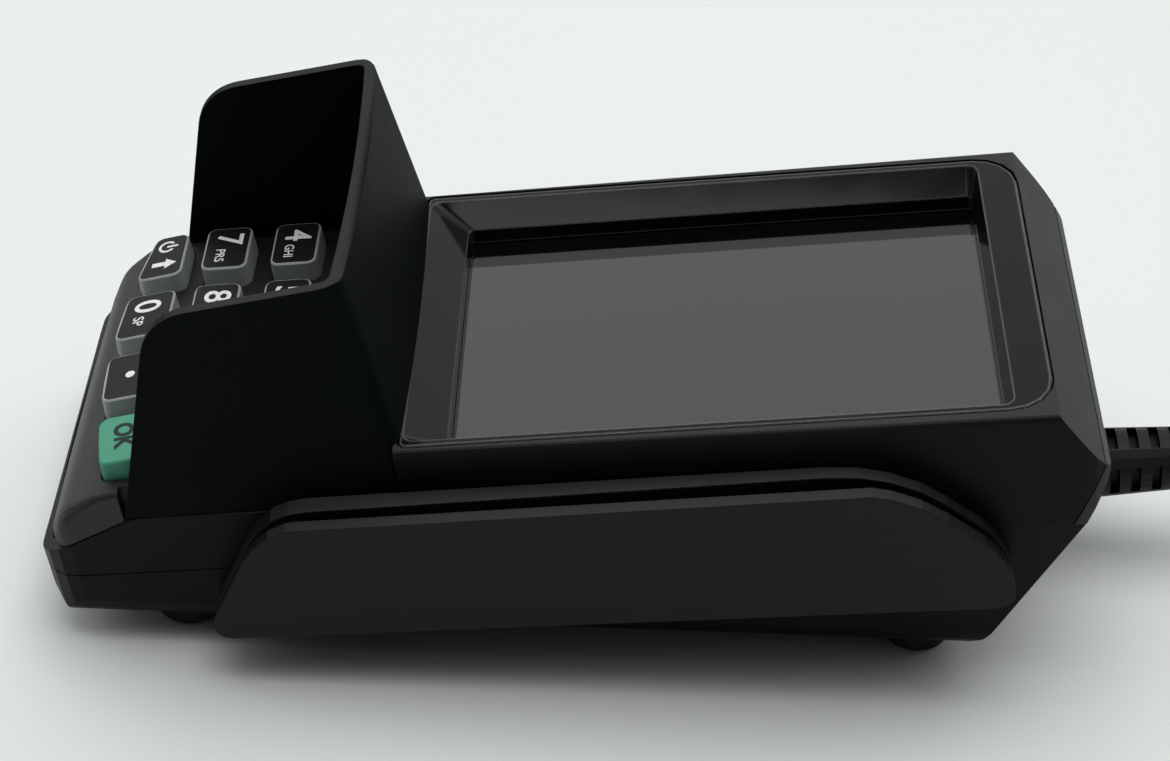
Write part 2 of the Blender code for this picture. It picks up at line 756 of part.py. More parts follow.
def build_upper_housing():
    profile = [
        (NOSE_TIP - FIT, -PARTING_DROP, 0),
        (*at_parting(REAR_COVER_THICKNESS + FIT), 0),
        (*on_upper_facet(REAR_COVER_THICKNESS + FIT), 0),
        (*REAR_TOP, TOP_EDGE_RADIUS),
        (BLOCK_FRONT, 0, 0),
        *reversed(SEAM),
    ]
    made = part(slab("upper_housing", [rounded(profile)], -DEPTH, DEPTH, ACROSS), HOUSING_PLASTIC)
    trim(made, plan_outer)

    depth = REAR_COVER_THICKNESS + FIT + BODY_WALL
    roof_start = REAR_TOP - Vector((-UPPER_FACET.y, UPPER_FACET.x)) * BODY_WALL
    inner_ridge = crossing(roof_start, UPPER_FACET, behind_cover(depth), REAR_FACET)
    roof_end = crossing(roof_start, UPPER_FACET, Vector((0, FLOOR_BOTTOM)), LEVEL)
    hollow = [
        (NOSE_TIP - FIT, -PARTING_DROP - OVERRUN, 0),
        (*at_parting(depth, -PARTING_DROP - OVERRUN), 0),
        (*inner_ridge, 0),
        (*roof_end, 0),
        (BLOCK_FRONT + BODY_WALL, FLOOR_BOTTOM, 0),
        (BLOCK_FRONT + BODY_WALL, -SEAM_DROP + FIT, 0),
        (NOSE_TIP - FIT, -SEAM_DROP + FIT, 0),
    ]
    cavity = cutter(slab("upper_cavity", [rounded(hollow)], -DEPTH, DEPTH, ACROSS))
    trim(cavity, plan_inner)
    cut(cavity, cutter(bars("upper_bosses", SCREW_PLACES, UPPER_BOSS_RADIUS, BOARD_TOP + FIT, 0)))
    posts = []
    for side in (-1, 1):
        middle = HEAD_PLACE.y + side * (LEAF_LENGTH - LEAF_POST) / 2
        low = (HEAD_BACK, middle - LEAF_POST / 2, HEAD_PLACE.z - LEAF_HEIGHT / 2)
        high = (BODY_HALF_WIDTH, middle + LEAF_POST / 2, HEAD_PLACE.z + LEAF_HEIGHT / 2)
        posts.append(block("leaf_posts", low, high))
    cut(cavity, cutter(joined("leaf_posts", posts)))
    cut(made, cavity)

    pocket = rounded(inset(bezel_corners(), -FIT))
    cut(made, cutter(slab("bezel_pocket", [pocket], GLASS_TOP, OVERRUN)))
    seat = rounded(window_corners(GLASS_OVERLAP + FIT))
    cut(made, cutter(slab("glass_seat", [seat], GLASS_SEAT, GLASS_TOP + FIT)))
    opening = rounded(window_corners(FIT - DISPLAY_MARGIN))
    cut(made, cutter(slab("display_opening", [opening], FLOOR_BOTTOM - FIT, GLASS_SEAT + FIT)))
    pilot = SCREW_RADIUS + SCREW_CLEARANCE
    cut(made, cutter(bars("pilot_holes", SCREW_PLACES, pilot, BOARD_BOTTOM, SCREW_TOP + FIT)))
    cut(made, head_opening("head_window", HEAD_CLEARANCE, HEAD_BACK, HEAD_FRONT + OVERRUN))
    notch_side = CARD_WIDTH / 2 + CARD_NOTCH_SIDE
    low = (-notch_side, NOSE_TIP - OVERRUN, -PARTING_DROP - OVERRUN)
    high = (notch_side, NOSE_TIP + OVERRUN, CARD_NOTCH_TOP)
    cut(made, cutter(block("card_notch", low, high)))
    return made


def build_rear_cover():
    profile = [
        (*at_parting(REAR_COVER_THICKNESS), 0),
        (*PARTING_POINT, 0),
        (*RIDGE_POINT, RIDGE_RADIUS),
        (*on_upper_facet(REAR_COVER_THICKNESS), 0),
    ]
    made = part(slab("rear_cover", [rounded(profile)], -DEPTH, DEPTH, ACROSS), HOUSING_PLASTIC)
    return trim(made, plan_outer)


def lower_profile(distance, floor, top):
    """Side view of the lower housing, or of the room inside it."""
    nose = NOSE_TIP + distance - (0 if distance else FIT)
    parting = -PARTING_DROP - FIT
    bottom_start = Vector((nose + NOSE_BOTTOM_SETBACK, underside_drop(nose + NOSE_BOTTOM_SETBACK) + floor))
    bottom_end = Vector((RIDGE, underside_drop(RIDGE) + floor))
    slope = Vector((math.sin(REAR_LEAN), math.cos(REAR_LEAN)))
    rear_start = Vector((REAR_PARTING - distance / math.cos(REAR_LEAN), parting))
    heel = crossing(rear_start, slope, bottom_start, bottom_end - bottom_start)
    rear_top = crossing(rear_start, slope, Vector((0, top)), LEVEL)
    above = [(nose, top, 0)] if top > parting else []
    return [
        *above,
        (nose, parting, 0),
        (*bottom_start, NOSE_BOTTOM_RADIUS - distance),
        (*heel, INNER_HEEL_RADIUS if distance else REAR_BOTTOM_RADIUS),
        (*rear_top, 0),
    ]


def section_prism(name, distance, floor):
    """Section of the lower housing across the ground direction, as long as the casing."""
    low = FOOT_HEIGHT + floor - FIT
    half = UNDERSIDE_HALF_WIDTH - distance
    flare = half + DISPLAY_HEIGHT * math.tan(SIDE_DRAFT)
    middle = CASING_ORIGIN.x
    outline = [
        (middle - half, low, UNDERSIDE_EDGE_RADIUS - distance),
        (middle + half, low, UNDERSIDE_EDGE_RADIUS - distance),
        (middle + flare, low + DISPLAY_HEIGHT, 0),
        (middle - flare, low + DISPLAY_HEIGHT, 0),
    ]
    return cutter(slab(name, [rounded(outline)], -BEZEL_LENGTH, BEZEL_LENGTH, ALONG), None)


section_outer = section_prism("section_outer", 0, 0)
section_inner = section_prism("section_inner", BODY_WALL, LOWER_FLOOR)


def under_y(v):
    """Ground place of a point of the underside, from its place along the casing."""
    return ground_place(0, v, underside_drop(v)).y


COVER_REAR_Y = under_y(COVER_REAR)


def cover_outline(clearance):
    front = under_y(NOSE_TIP + COVER_NOSE_SETBACK)
    rear = COVER_REAR_Y
    x = CASING_ORIGIN.x
    half = COVER_HALF_WIDTH
    corners = rectangle(x - half, x + half, front, rear, COVER_CORNER_RADIUS)
    return rounded(inset(corners, -clearance))


COVER_SCREW_PLACE = (
    CASING_ORIGIN.x,
    COVER_REAR_Y - COVER_SCREW_SETBACK,
)
COVER_CEILING = FOOT_HEIGHT + COVER_THICKNESS + FIT
FOOT_PLACES = {
    f"foot_{end}_{side}": (CASING_ORIGIN.x + sign * FOOT_SPREAD, under_y(v))
    for end, v in (("front", NOSE_TIP + FRONT_FOOT_FROM_NOSE), ("rear", BEZEL_REAR - REAR_FOOT_SETBACK))
    for side, sign in (("left", -1), ("right", 1))
}
SPEAKER_PLACE = (CASING_ORIGIN.x, under_y(BEZEL_REAR - SPEAKER_SETBACK))
BOOT_FACET = REAR_PARTING - (BOOT_DROP - PARTING_DROP - FIT) * math.tan(REAR_LEAN)
BOOT_RIB_START = BOOT_FACET + BOOT_START_RADIUS * math.tan(REAR_LEAN) + BOOT_STAND_OFF
BOOT_END = BOOT_RIB_START + BOOT_RIBS * BOOT_PITCH - BOOT_PITCH * (1 - BOOT_RIB_SHARE)


def foot_recesses(name, end):
    places = [place for foot, place in FOOT_PLACES.items() if end in foot]
    bored = [
        round_bar(name, FOOT_RADIUS + FIT, 0, FOOT_HEIGHT + FOOT_RECESS, place) for place in places
    ]
    return cutter(joined(name, bored), None)


def build_lower_housing():
    profile = lower_profile(0, 0, -PARTING_DROP - FIT)
    made = part(slab("lower_housing", [rounded(profile)], -DEPTH, DEPTH, ACROSS), HOUSING_PLASTIC)
    trim(made, plan_outer)
    trim(made, section_outer)
    hollow = lower_profile(BODY_WALL, LOWER_FLOOR / COS_TILT, -PARTING_DROP + OVERRUN)
    cavity = cutter(slab("lower_cavity", [rounded(hollow)], -DEPTH, DEPTH, ACROSS))
    trim(cavity, plan_inner)
    trim(cavity, section_inner)
    cut(made, cavity)

    boss_radius = SCREW_HEAD_RADIUS + SCREW_CLEARANCE + BOSS_WALL
    post_v = NOSE_TIP + POST_FROM_NOSE
    rods = []
    for place in SCREW_PLACES:
        foot = underside_drop(place[1]) + LOWER_FLOOR / 2
        rods.append(round_bar("bosses", boss_radius, foot, BOARD_BOTTOM - FIT, place, SMALL_ROUND_STEPS))
    for side in (-1, 1):
        place = (side * POST_SPREAD, post_v)
        foot = underside_drop(post_v) + LOWER_FLOOR / 2
        rods.append(round_bar("bosses", POST_RADIUS, foot, BOARD_BOTTOM - FIT, place, SMALL_ROUND_STEPS))
    unite(made, cutter(joined("bosses", rods)))
    shoulder = SCREW_SHOULDER + FIT
    bore = SCREW_HEAD_RADIUS + SCREW_CLEARANCE
    cut(made, cutter(bars("counterbores", SCREW_PLACES, bore, -DEPTH, shoulder)))
    hole = SCREW_RADIUS + SCREW_CLEARANCE
    cut(made, cutter(bars("shank_holes", SCREW_PLACES, hole, shoulder - FIT, 0)))

    recess = slab("cover_recess", [cover_outline(FIT)], 0, COVER_CEILING)
    cut(made, cutter(recess, None))
    cut(made, foot_recesses("rear_foot_recesses", "rear"))
    top = DISPLAY_HEIGHT / 2
    thread = round_bar("cover_screw_hole", hole, FOOT_HEIGHT, top, COVER_SCREW_PLACE, SMALL_ROUND_STEPS)
    cut(made, cutter(thread, None))
    slots = []
    for index in range(GRILLE_SLOTS):
        y = SPEAKER_PLACE[1] + (index - (GRILLE_SLOTS - 1) / 2) * GRILLE_PITCH
        x = SPEAKER_PLACE[0]
        half, thin = GRILLE_SLOT_LENGTH / 2, GRILLE_SLOT_WIDTH / 2
        low = (x - half, y - thin, 0)
        slots.append(block("grille", low, (x + half, y + thin, FOOT_HEIGHT + LOWER_FLOOR + OVERRUN)))
    cut(made, cutter(joined("grille", slots), None))
    mouth = BOOT_NECK_RADIUS + FIT
    reach = REAR_PARTING + OVERRUN
    inside = BOOT_FACET - BOOT_FLANGE_SETBACK
    opening = round_bar("boot_opening", mouth, -reach, -inside, (0, -BOOT_DROP), ROUND_STEPS, None, ALONG)
    cut(made, cutter(opening))
    return made


def build_bottom_cover():
    plate = slab("bottom_cover", [cover_outline(0)], FOOT_HEIGHT, FOOT_HEIGHT + COVER_THICKNESS)
    made = part(plate, HOUSING_PLASTIC, None)
    trim(made, section_outer)
    cut(made, foot_recesses("front_foot_recesses", "front"))
    seat = FOOT_HEIGHT + COVER_SCREW_SINK + COVER_SCREW_HEAD_HEIGHT + FIT
    bore = SCREW_HEAD_RADIUS + SCREW_CLEARANCE
    hole = SCREW_RADIUS + SCREW_CLEARANCE
    rods = [
        round_bar("cover_bores", bore, 0, seat, COVER_SCREW_PLACE, SMALL_ROUND_STEPS),
        round_bar("cover_bores", hole, FOOT_HEIGHT, DISPLAY_HEIGHT / 2, COVER_SCREW_PLACE, SMALL_ROUND_STEPS),
    ]
    for index, rod in enumerate(rods):
        cut(made, cutter(joined(f"cover_bore_{index + 1}", [rod]), None))
    return made


DECK_REAR = BLOCK_FRONT - FIT
DECK_KNEE = (NOSE_TIP + DECK_KNEE_SETBACK, -DECK_DROP - DECK_KNEE_FALL, DECK_KNEE_RADIUS)
DECK_BROW = (NOSE_TIP + DECK_BROW_SETBACK, -DECK_DROP - DECK_BROW_FALL, DECK_BROW_RADIUS)
DECK_EDGE = (NOSE_TIP + NOSE_EDGE_SETBACK, -DECK_DROP - NOSE_EDGE_FALL, 0)
DECK_TOP = [
    (DECK_REAR, -DEPTH, 0),
    (DECK_REAR, -DECK_DROP, 0),
    DECK_KNEE,
    DECK_BROW,
    DECK_EDGE,
    (DECK_EDGE[0], -DEPTH, 0),
]
SKIN = [Vector(corner[:2]) for corner in inset(DECK_TOP, DECK_SKIN)]
DECK_UNDERSIDE = -DECK_DROP - DECK_THICKNESS
FLAT_END = crossing(SKIN[2], SKIN[3] - SKIN[2], Vector((0, DECK_UNDERSIDE)), LEVEL)


def deck_stations():
    """Places along the top of the deck, from its rear end over the brow and down the nose."""
    rear, knee, brow, edge = (Vector(corner[:2]) for corner in DECK_TOP[1:5])
    beyond = edge + (edge - brow) * DECK_OVERSHOOT_SHARE
    chain = [rear]
    chain += corner_arc(rear, knee, brow, DECK_KNEE_RADIUS, CORNER_STEPS)
    chain += corner_arc(knee, brow, edge, DECK_BROW_RADIUS, CORNER_STEPS)
    return chain + [edge, beyond]


def corner_half_width(v):
    """Half the width of the casing at a place along it, with the rounded corners of the nose."""
    shoulder = NOSE_TIP + NOSE_HALF_WIDTH ** 2 / (2 * NOSE_ARC_RADIUS)
    past = min(max(shoulder + NOSE_CORNER_RADIUS - v, 0), NOSE_CORNER_RADIUS)
    return half_width(v) - NOSE_CORNER_RADIUS + math.sqrt(NOSE_CORNER_RADIUS ** 2 - past ** 2)


def key_outline(x, v, name):
    """Corners of one key's foot."""
    left, right = x - KEY_WIDTH / 2, x + KEY_WIDTH / 2
    if name not in FRONT_KEYS:
        return rectangle(left, right, v - KEY_DEPTH / 2, v + KEY_DEPTH / 2, KEY_CORNER_RADIUS)
    tip = FRONT_KEY_REAR - FRONT_KEY_DEPTH
    front = [tip + place * place / (2 * FRONT_ARC_RADIUS) for place in (left, x, right)]
    return [
        (left, front[0], KEY_CORNER_RADIUS),
        (x, front[1], 0),
        (right, front[2], KEY_CORNER_RADIUS),
        (right, FRONT_KEY_REAR, KEY_CORNER_RADIUS),
        (left, FRONT_KEY_REAR, KEY_CORNER_RADIUS),
    ]


KEY_ROWS = (
    ("key_1", "key_2", "key_3", "key_cancel"),
    ("key_4", "key_5", "key_6", "key_clear"),
    ("key_7", "key_8", "key_9", "key_menu"),
)
FRONT_KEYS = ("key_power", "key_0", "key_point", "key_ok")
KEY_COLOURS = {"key_ok": GREEN_PLASTIC, "key_cancel": RED_PLASTIC, "key_clear": AMBER_PLASTIC}
BACK_ROW = KEYPAD_REAR - KEY_DEPTH / 2
FRONT_KEY_REAR = BACK_ROW - 2 * ROW_PITCH - KEY_DEPTH / 2 - FRONT_ROW_GAP
KEY_PLACES = {}
for row, names in enumerate((*KEY_ROWS, FRONT_KEYS)):
    for column, key_name in enumerate(names):
        key_v = BACK_ROW - row * ROW_PITCH if row < len(KEY_ROWS) else FRONT_KEY_REAR - FRONT_KEY_DEPTH / 2
        KEY_PLACES[key_name] = ((column - (len(names) - 1) / 2) * KEY_PITCH, key_v)


def build_keypad_deck():
    levels = []
    low = -SEAM_DROP - SEAM_TIP_FALL - OVERRUN
    for station in deck_stations():
        half = corner_half_width(station.x)
        share = min(max((station.x - DECK_BROW[0]) / (DECK_KNEE[0] - DECK_BROW[0]), 0), 1)
        radius = DECK_EDGE_RADIUS + (DECK_SHOULDER_RADIUS - DECK_EDGE_RADIUS) * share
        corners = rectangle(-half, half, low, station.y, radius)
        corners[0] = (*corners[0][:2], 0)
        corners[1] = (*corners[1][:2], 0)
        levels.append(ring(rounded(corners), -station.x, ALONG))
    made = part(stacked("keypad_deck", levels), DECK_PLASTIC)
    deck_plan = plan_corners(NOSE_TIP + NOSE_EDGE_SETBACK, DECK_CORNER_RADIUS)
    trim(made, cutter(slab("deck_plan", [rounded(deck_plan)], -DEPTH, OVERRUN)))
    above = [*SEAM, (BLOCK_FRONT, OVERRUN, 0), (NOSE_TIP + NOSE_FACE_SETBACK, OVERRUN, 0)]
    trim(made, cutter(slab("above_seam", [rounded(inset(above, FIT))], -DEPTH, DEPTH, ACROSS)))

    shelves = []
    inner = SHIELD_BASE_HALF_WIDTH - SHIELD_WALL - FIT
    for side in (-1, 1):
        near, far = sorted((side * inner, side * (BODY_HALF_WIDTH + OVERRUN)))
        low_corner = (near, NOSE_TIP + SHIELD_FRONT_SETBACK - FIT, -DEPTH)
        shelves.append(block("shield_shelves", low_corner, (far, BLOCK_FRONT + OVERRUN, OVERRUN)))
    cut(made, cutter(joined("shield_shelves", shelves)))

    rear = DECK_REAR - DECK_SKIN
    hollow = [
        (rear, -DEPTH),
        (rear, DECK_UNDERSIDE),
        tuple(FLAT_END),
        tuple(SKIN[3]),
        tuple(SKIN[4]),
        (SKIN[4].x, -DEPTH),
    ]
    cavity = cutter(slab("deck_hollow", [hollow], -DEPTH, DEPTH, ACROSS))
    trim(cavity, plan_prism("deck_core", BODY_WALL + DECK_RIM))
    cut(made, cavity)
    holes = []
    for name, (x, v) in KEY_PLACES.items():
        outline = rounded(inset(key_outline(x, v, name), -KEY_CLEARANCE))
        holes.append(slab("key_holes", [outline], -SEAM_DROP - OVERRUN, OVERRUN))
    cut(made, cutter(joined("key_holes", holes)))
    return made


def build_key(name, x, v):
    front_key = name in FRONT_KEYS
    corners = key_outline(x, v, name)
    top = -(FRONT_KEY_TOP_DROP if front_key else KEY_TOP_DROP)
    slope = math.tan(FRONT_KEY_SLOPE) if front_key else 0

    def level(distance, height, sloping):
        places = rounded(inset(corners, distance))
        fall = [(FRONT_KEY_REAR - place.y) * slope if sloping else 0 for place in places]
        return [Vector((place.x, place.y, height - drop)) for place, drop in zip(places, fall)]

    levels = [
        level(0, KEY_BOTTOM + FIT, False),
        level(0, -DECK_DROP - DECK_KNEE_FALL, False),
        level(KEY_TAPER, top - KEY_EDGE, True),
        level(KEY_TAPER + KEY_EDGE, top, True),
    ]
    made = part(stacked(name, levels), KEY_COLOURS.get(name, KEY_PLASTIC))
    left, right = x - KEY_WIDTH / 2 - KEY_FLANGE, x + KEY_WIDTH / 2 + KEY_FLANGE
    low, high = v - KEY_DEPTH / 2 - KEY_FLANGE, v + KEY_DEPTH / 2 + KEY_FLANGE
    if front_key:
        low, high = FLAT_END.x + KEY_CLEARANCE, FRONT_KEY_REAR + KEY_FLANGE
    flange = rectangle(left, right, low, high)
    unite(made, cutter(slab(f"{name}_flange", [rounded(flange)], KEY_BOTTOM, KEY_FLANGE_TOP)))
    return moved_origin(made, (x, v, KEY_FLANGE_TOP))


def build_keypad_mat():
    half = KEY_PITCH * 3 / 2 + KEY_WIDTH / 2 + MAT_MARGIN / 2
    rear = BACK_ROW + KEY_DEPTH / 2 + MAT_MARGIN
    front = FRONT_KEY_REAR - FRONT_KEY_DEPTH - MAT_MARGIN / 2
    outline = rounded(rectangle(-half, half, front, rear, KEY_CORNER_RADIUS))
    made = part(slab("keypad_mat", [outline], MAT_TOP - MAT_THICKNESS, MAT_TOP), SILICONE)
    domes = []
    low = MAT_TOP - FIT
    for place in KEY_PLACES.values():
        dome = round_bar("domes", DOME_RADIUS, low, DOME_TOP, place, SMALL_ROUND_STEPS, DOME_TOP_RADIUS)
        domes.append(dome)
    return unite(made, cutter(joined("domes", domes)))


def build_main_board():
    front = FRONT_KEY_REAR - FRONT_KEY_DEPTH - MAT_MARGIN
    half = NOSE_HALF_WIDTH - BODY_WALL - BOARD_SIDE_GAP
    rear = BEZEL_REAR - BOARD_REAR_SETBACK
    outline = rounded(rectangle(-half, half, front, rear, KEY_CORNER_RADIUS))
    made = part(slab("main_board", [outline], BOARD_BOTTOM, BOARD_TOP), BOARD_GREEN)
    hole = SCREW_RADIUS + SCREW_CLEARANCE
    return cut(made, cutter(bars("board_holes", SCREW_PLACES, hole, BOARD_BOTTOM - FIT, BOARD_TOP + FIT)))


SHIELD_REAR = BEZEL_FRONT + SHIELD_OVERHANG


def shield_level(height, wall):
    """The shield's outline at a height, or its inner one: open to the front, with a bowed rear wall."""
    share = max(height + DECK_DROP, 0) / (SHIELD_HEIGHT + DECK_DROP)
    half = SHIELD_BASE_HALF_WIDTH + (SHIELD_TOP_HALF_WIDTH - SHIELD_BASE_HALF_WIDTH) * share - wall
    back = SHIELD_REAR - SHIELD_BACK_LEAN * share - wall
    arc = [(bow_share * half, back - SHIELD_BACK_BOW * bow_share ** 2, 0) for bow_share in BACK_SHARES]
    corner = SHIELD_BACK_CORNER_RADIUS - wall
    end = back - SHIELD_BACK_BOW
    front = NOSE_TIP - wall
    corners = [(-half, front, 0), (half, front, 0), (half, end, corner), *arc, (-half, end, corner)]
    return ring(rounded(corners), height)


def build_privacy_shield():
    top = SHIELD_HEIGHT
    base = -SEAM_DROP
    outer = [shield_level(height, 0) for height in (base + FIT, -DECK_DROP, top / 2, top)]
    made = part(stacked("privacy_shield", outer), SHIELD_PLASTIC)
    heights = (base - OVERRUN, -DECK_DROP, top / 2, top + OVERRUN)
    inner = [shield_level(height, SHIELD_WALL) for height in heights]
    cut(made, cutter(stacked("shield_inside", inner)))

    foot = NOSE_TIP + SHIELD_FRONT_SETBACK
    corner_height = top - SHIELD_TOP_FALL
    corner = foot + (corner_height - base) * math.tan(SHIELD_LEAN)
    rear = SHIELD_REAR + FIT
    side = [
        (foot, base, 0),
        (rear, base, 0),
        (rear, -DECK_DROP, 0),
        (rear - SHIELD_BACK_LEAN, top, SHIELD_REAR_RADIUS),
        (corner, corner_height, SHIELD_FRONT_RADIUS),
    ]
    trim(made, cutter(slab("shield_side", [rounded(side, ROUND_STEPS // 2)], -DEPTH, DEPTH, ACROSS)))

    half = SHIELD_BASE_HALF_WIDTH - SHIELD_WALL
    start = DECK_REAR - OVERRUN
    end = BLOCK_FRONT + OVERRUN
    cut(made, cutter(block("deck_passage", (-half, start, -DEPTH), (half, end, -DECK_DROP + FIT))))
    inside = half - SHIELD_CORNER_CLEARANCE
    cut(made, cutter(block("rim_rebate", (-inside, start, -DEPTH), (inside, end, FIT))))
    rebate = block("rear_rebate", (-BODY_HALF_WIDTH, DECK_REAR, -DEPTH), (BODY_HALF_WIDTH, end, FIT))
    cut(made, cutter(rebate))
    return made


def build_swipe_rail():
    top = -RAIL_TOP_DROP
    front, rear = -RAIL_FRONT + BEZEL_FRONT, BEZEL_REAR - RAIL_REAR
    outline = [
        (front, top - RAIL_DEPTH_FRONT, RAIL_BOTTOM_RADIUS),
        (rear, top - RAIL_DEPTH_REAR, RAIL_BOTTOM_RADIUS),
        (rear - RAIL_REAR_HIP_SETBACK, top - RAIL_REAR_HIP_FALL, RAIL_HIP_RADIUS),
        (rear - RAIL_REAR_KNEE, top - RAIL_TOP_SLOPE_FALL / 2, RAIL_KNEE_RADIUS),
        (front + RAIL_FRONT_SLOPE, top - RAIL_TOP_SLOPE_FALL, RAIL_FRONT_RADIUS),
    ]
    made = slab("swipe_rail", [rounded(outline)], NOSE_HALF_WIDTH - BODY_WALL, RAIL_OUTER_X, ACROSS)
    part(made, HOUSING_PLASTIC)
    cut(made, plan_clear)
    step = top - RAIL_TOP_SLOPE_FALL / 2 - RAIL_OUTER_STEP
    low = (SLOT_MIDDLE, front - OVERRUN, step)
    cut(made, cutter(block("rail_step", low, (RAIL_OUTER_X + OVERRUN, rear + OVERRUN, OVERRUN))))
    low = (SLOT_LEFT, front - OVERRUN, top - RAIL_SLOT_DEPTH)
    cut(made, cutter(block("swipe_slot", low, (SLOT_RIGHT, rear + OVERRUN, OVERRUN))))
    return cut(made, head_opening("rail_window", HEAD_CLEARANCE, HEAD_PLACE.x, SLOT_MIDDLE))


def build_screen_bezel():
    outer = bezel_corners()
    slope = rectangle(
        -BEZEL_WIDTH / 2 + BEZEL_SIDE_RIM,
        BEZEL_WIDTH / 2 - BEZEL_SIDE_RIM,
        BEZEL_FRONT + BEZEL_FRONT_RIM,
        BEZEL_REAR - REAR_STRIP,
        SLOPE_CORNER_RADIUS,
    )
    window = rounded(window_corners(0))
    levels = [
        ring(rounded(outer), -BEZEL_THICKNESS),
        ring(rounded(outer), -BEZEL_EDGE),
        ring(rounded(inset(outer, BEZEL_EDGE)), 0),
        ring(rounded(slope), 0),
        ring(window, -SLOPE_FALL),
        ring(window, -BEZEL_THICKNESS),
    ]
    return part(stacked("screen_bezel", [*levels, levels[0]], closed_ring=True), GLOSS_PLASTIC)


def build_screen():
    pane = rounded(window_corners(GLASS_OVERLAP))
    part(slab("touch_glass", [pane], GLASS_TOP - GLASS_THICKNESS, GLASS_TOP), DARK_GLASS)
    panel = rounded(window_corners(-DISPLAY_MARGIN))
    part(slab("display_module", [panel], BOARD_TOP + FIT, GLASS_SEAT), BLACK_PLASTIC)

    inner = rounded(window_corners(ANTENNA_GAP - DISPLAY_MARGIN))
    half = half_width(BLOCK_FRONT) - BODY_WALL - ANTENNA_GAP
    front = BLOCK_FRONT + BODY_WALL + ANTENNA_GAP
    outer = rounded(rectangle(-half, half, front, -front, WINDOW_CORNER_RADIUS))
    top = FLOOR_BOTTOM - FIT
    antenna = part(slab("antenna_board", [outer, inner], top - ANTENNA_THICKNESS, top), BOARD_GREEN)
    clear = UPPER_BOSS_RADIUS + FIT
    cut(antenna, cutter(bars("antenna_notches", SCREW_PLACES, clear, BOARD_TOP, FLOOR_BOTTOM)))


def build_chip_reader():
    front = NOSE_TIP + BODY_WALL + READER_FRONT_GAP
    rear = front + READER_LENGTH
    bottom = READER_SLOT_BOTTOM - READER_FLOOR
    low_top = READER_SLOT_TOP + READER_ROOF
    knee = NOSE_TIP + SEAM_KNEE_SETBACK - READER_STEP
    profile = [
        (front, bottom),
        (rear, bottom),
        (rear, BOARD_BOTTOM - FIT),
        (knee, BOARD_BOTTOM - FIT),
        (knee - READER_STEP, low_top),
        (front, low_top),
    ]
    made = part(slab("chip_reader", [profile], -READER_HALF_WIDTH, READER_HALF_WIDTH, ACROSS), BLACK_PLASTIC)
    side = CARD_WIDTH / 2 + CARD_CLEARANCE / 2
    low = (-side, front - OVERRUN, READER_SLOT_BOTTOM)
    return cut(made, cutter(block("card_slot", low, (side, rear - READER_STOP, READER_SLOT_TOP))))


def build_mag_head():
    face = rectangle(
        HEAD_PLACE.y - HEAD_LENGTH / 2,
        HEAD_PLACE.y + HEAD_LENGTH / 2,
        HEAD_PLACE.z - HEAD_HEIGHT / 2,
        HEAD_PLACE.z + HEAD_HEIGHT / 2,
    )
    levels = [
        ring(rounded(face), HEAD_BACK, ACROSS),
        ring(rounded(face), HEAD_FRONT - HEAD_NOSE_BEVEL, ACROSS),
        ring(rounded(inset(face, HEAD_NOSE_BEVEL)), HEAD_FRONT, ACROSS),
    ]
    head = part(stacked("mag_head", levels), STEEL)
    moved_origin(head, HEAD_PLACE)
    middle = HEAD_PLACE.y
    leaf = rectangle(
        middle - LEAF_LENGTH / 2,
        middle + LEAF_LENGTH / 2,
        HEAD_PLACE.z - LEAF_HEIGHT / 2,
        HEAD_PLACE.z + LEAF_HEIGHT / 2,
    )
    front = HEAD_BACK - FIT
    spring = part(slab("mag_spring", [rounded(leaf)], front - LEAF_THICKNESS, front, ACROSS), STEEL)
    moved_origin(spring, HEAD_PLACE)


def build_under_board():
    top = BOARD_BOTTOM - FIT
    place = (-BATTERY_RADIUS, BEZEL_FRONT + BATTERY_SETBACK)
    part(round_bar("backup_battery", BATTERY_RADIUS, top - BATTERY_HEIGHT, top, place, ROUND_STEPS), STEEL)
    socket_rear = BEZEL_REAR - SOCKET_SETBACK + SOCKET_LENGTH / 2
    low = (-SOCKET_WIDTH / 2, socket_rear - SOCKET_LENGTH, top - SOCKET_HEIGHT)
    part(block("cable_socket", low, (SOCKET_WIDTH / 2, socket_rear, top)), BLACK_PLASTIC)
    low = FOOT_HEIGHT + LOWER_FLOOR + FIT
    rim = low + SPEAKER_HEIGHT / 2
    levels = [
        circle_ring(SPEAKER_RADIUS, low, SPEAKER_PLACE),
        circle_ring(SPEAKER_RADIUS, rim, SPEAKER_PLACE),
        circle_ring(SPEAKER_MAGNET_RADIUS, rim, SPEAKER_PLACE),
        circle_ring(SPEAKER_MAGNET_RADIUS, low + SPEAKER_HEIGHT, SPEAKER_PLACE),
    ]
    part(stacked("speaker", levels), BLACK_PLASTIC, None)


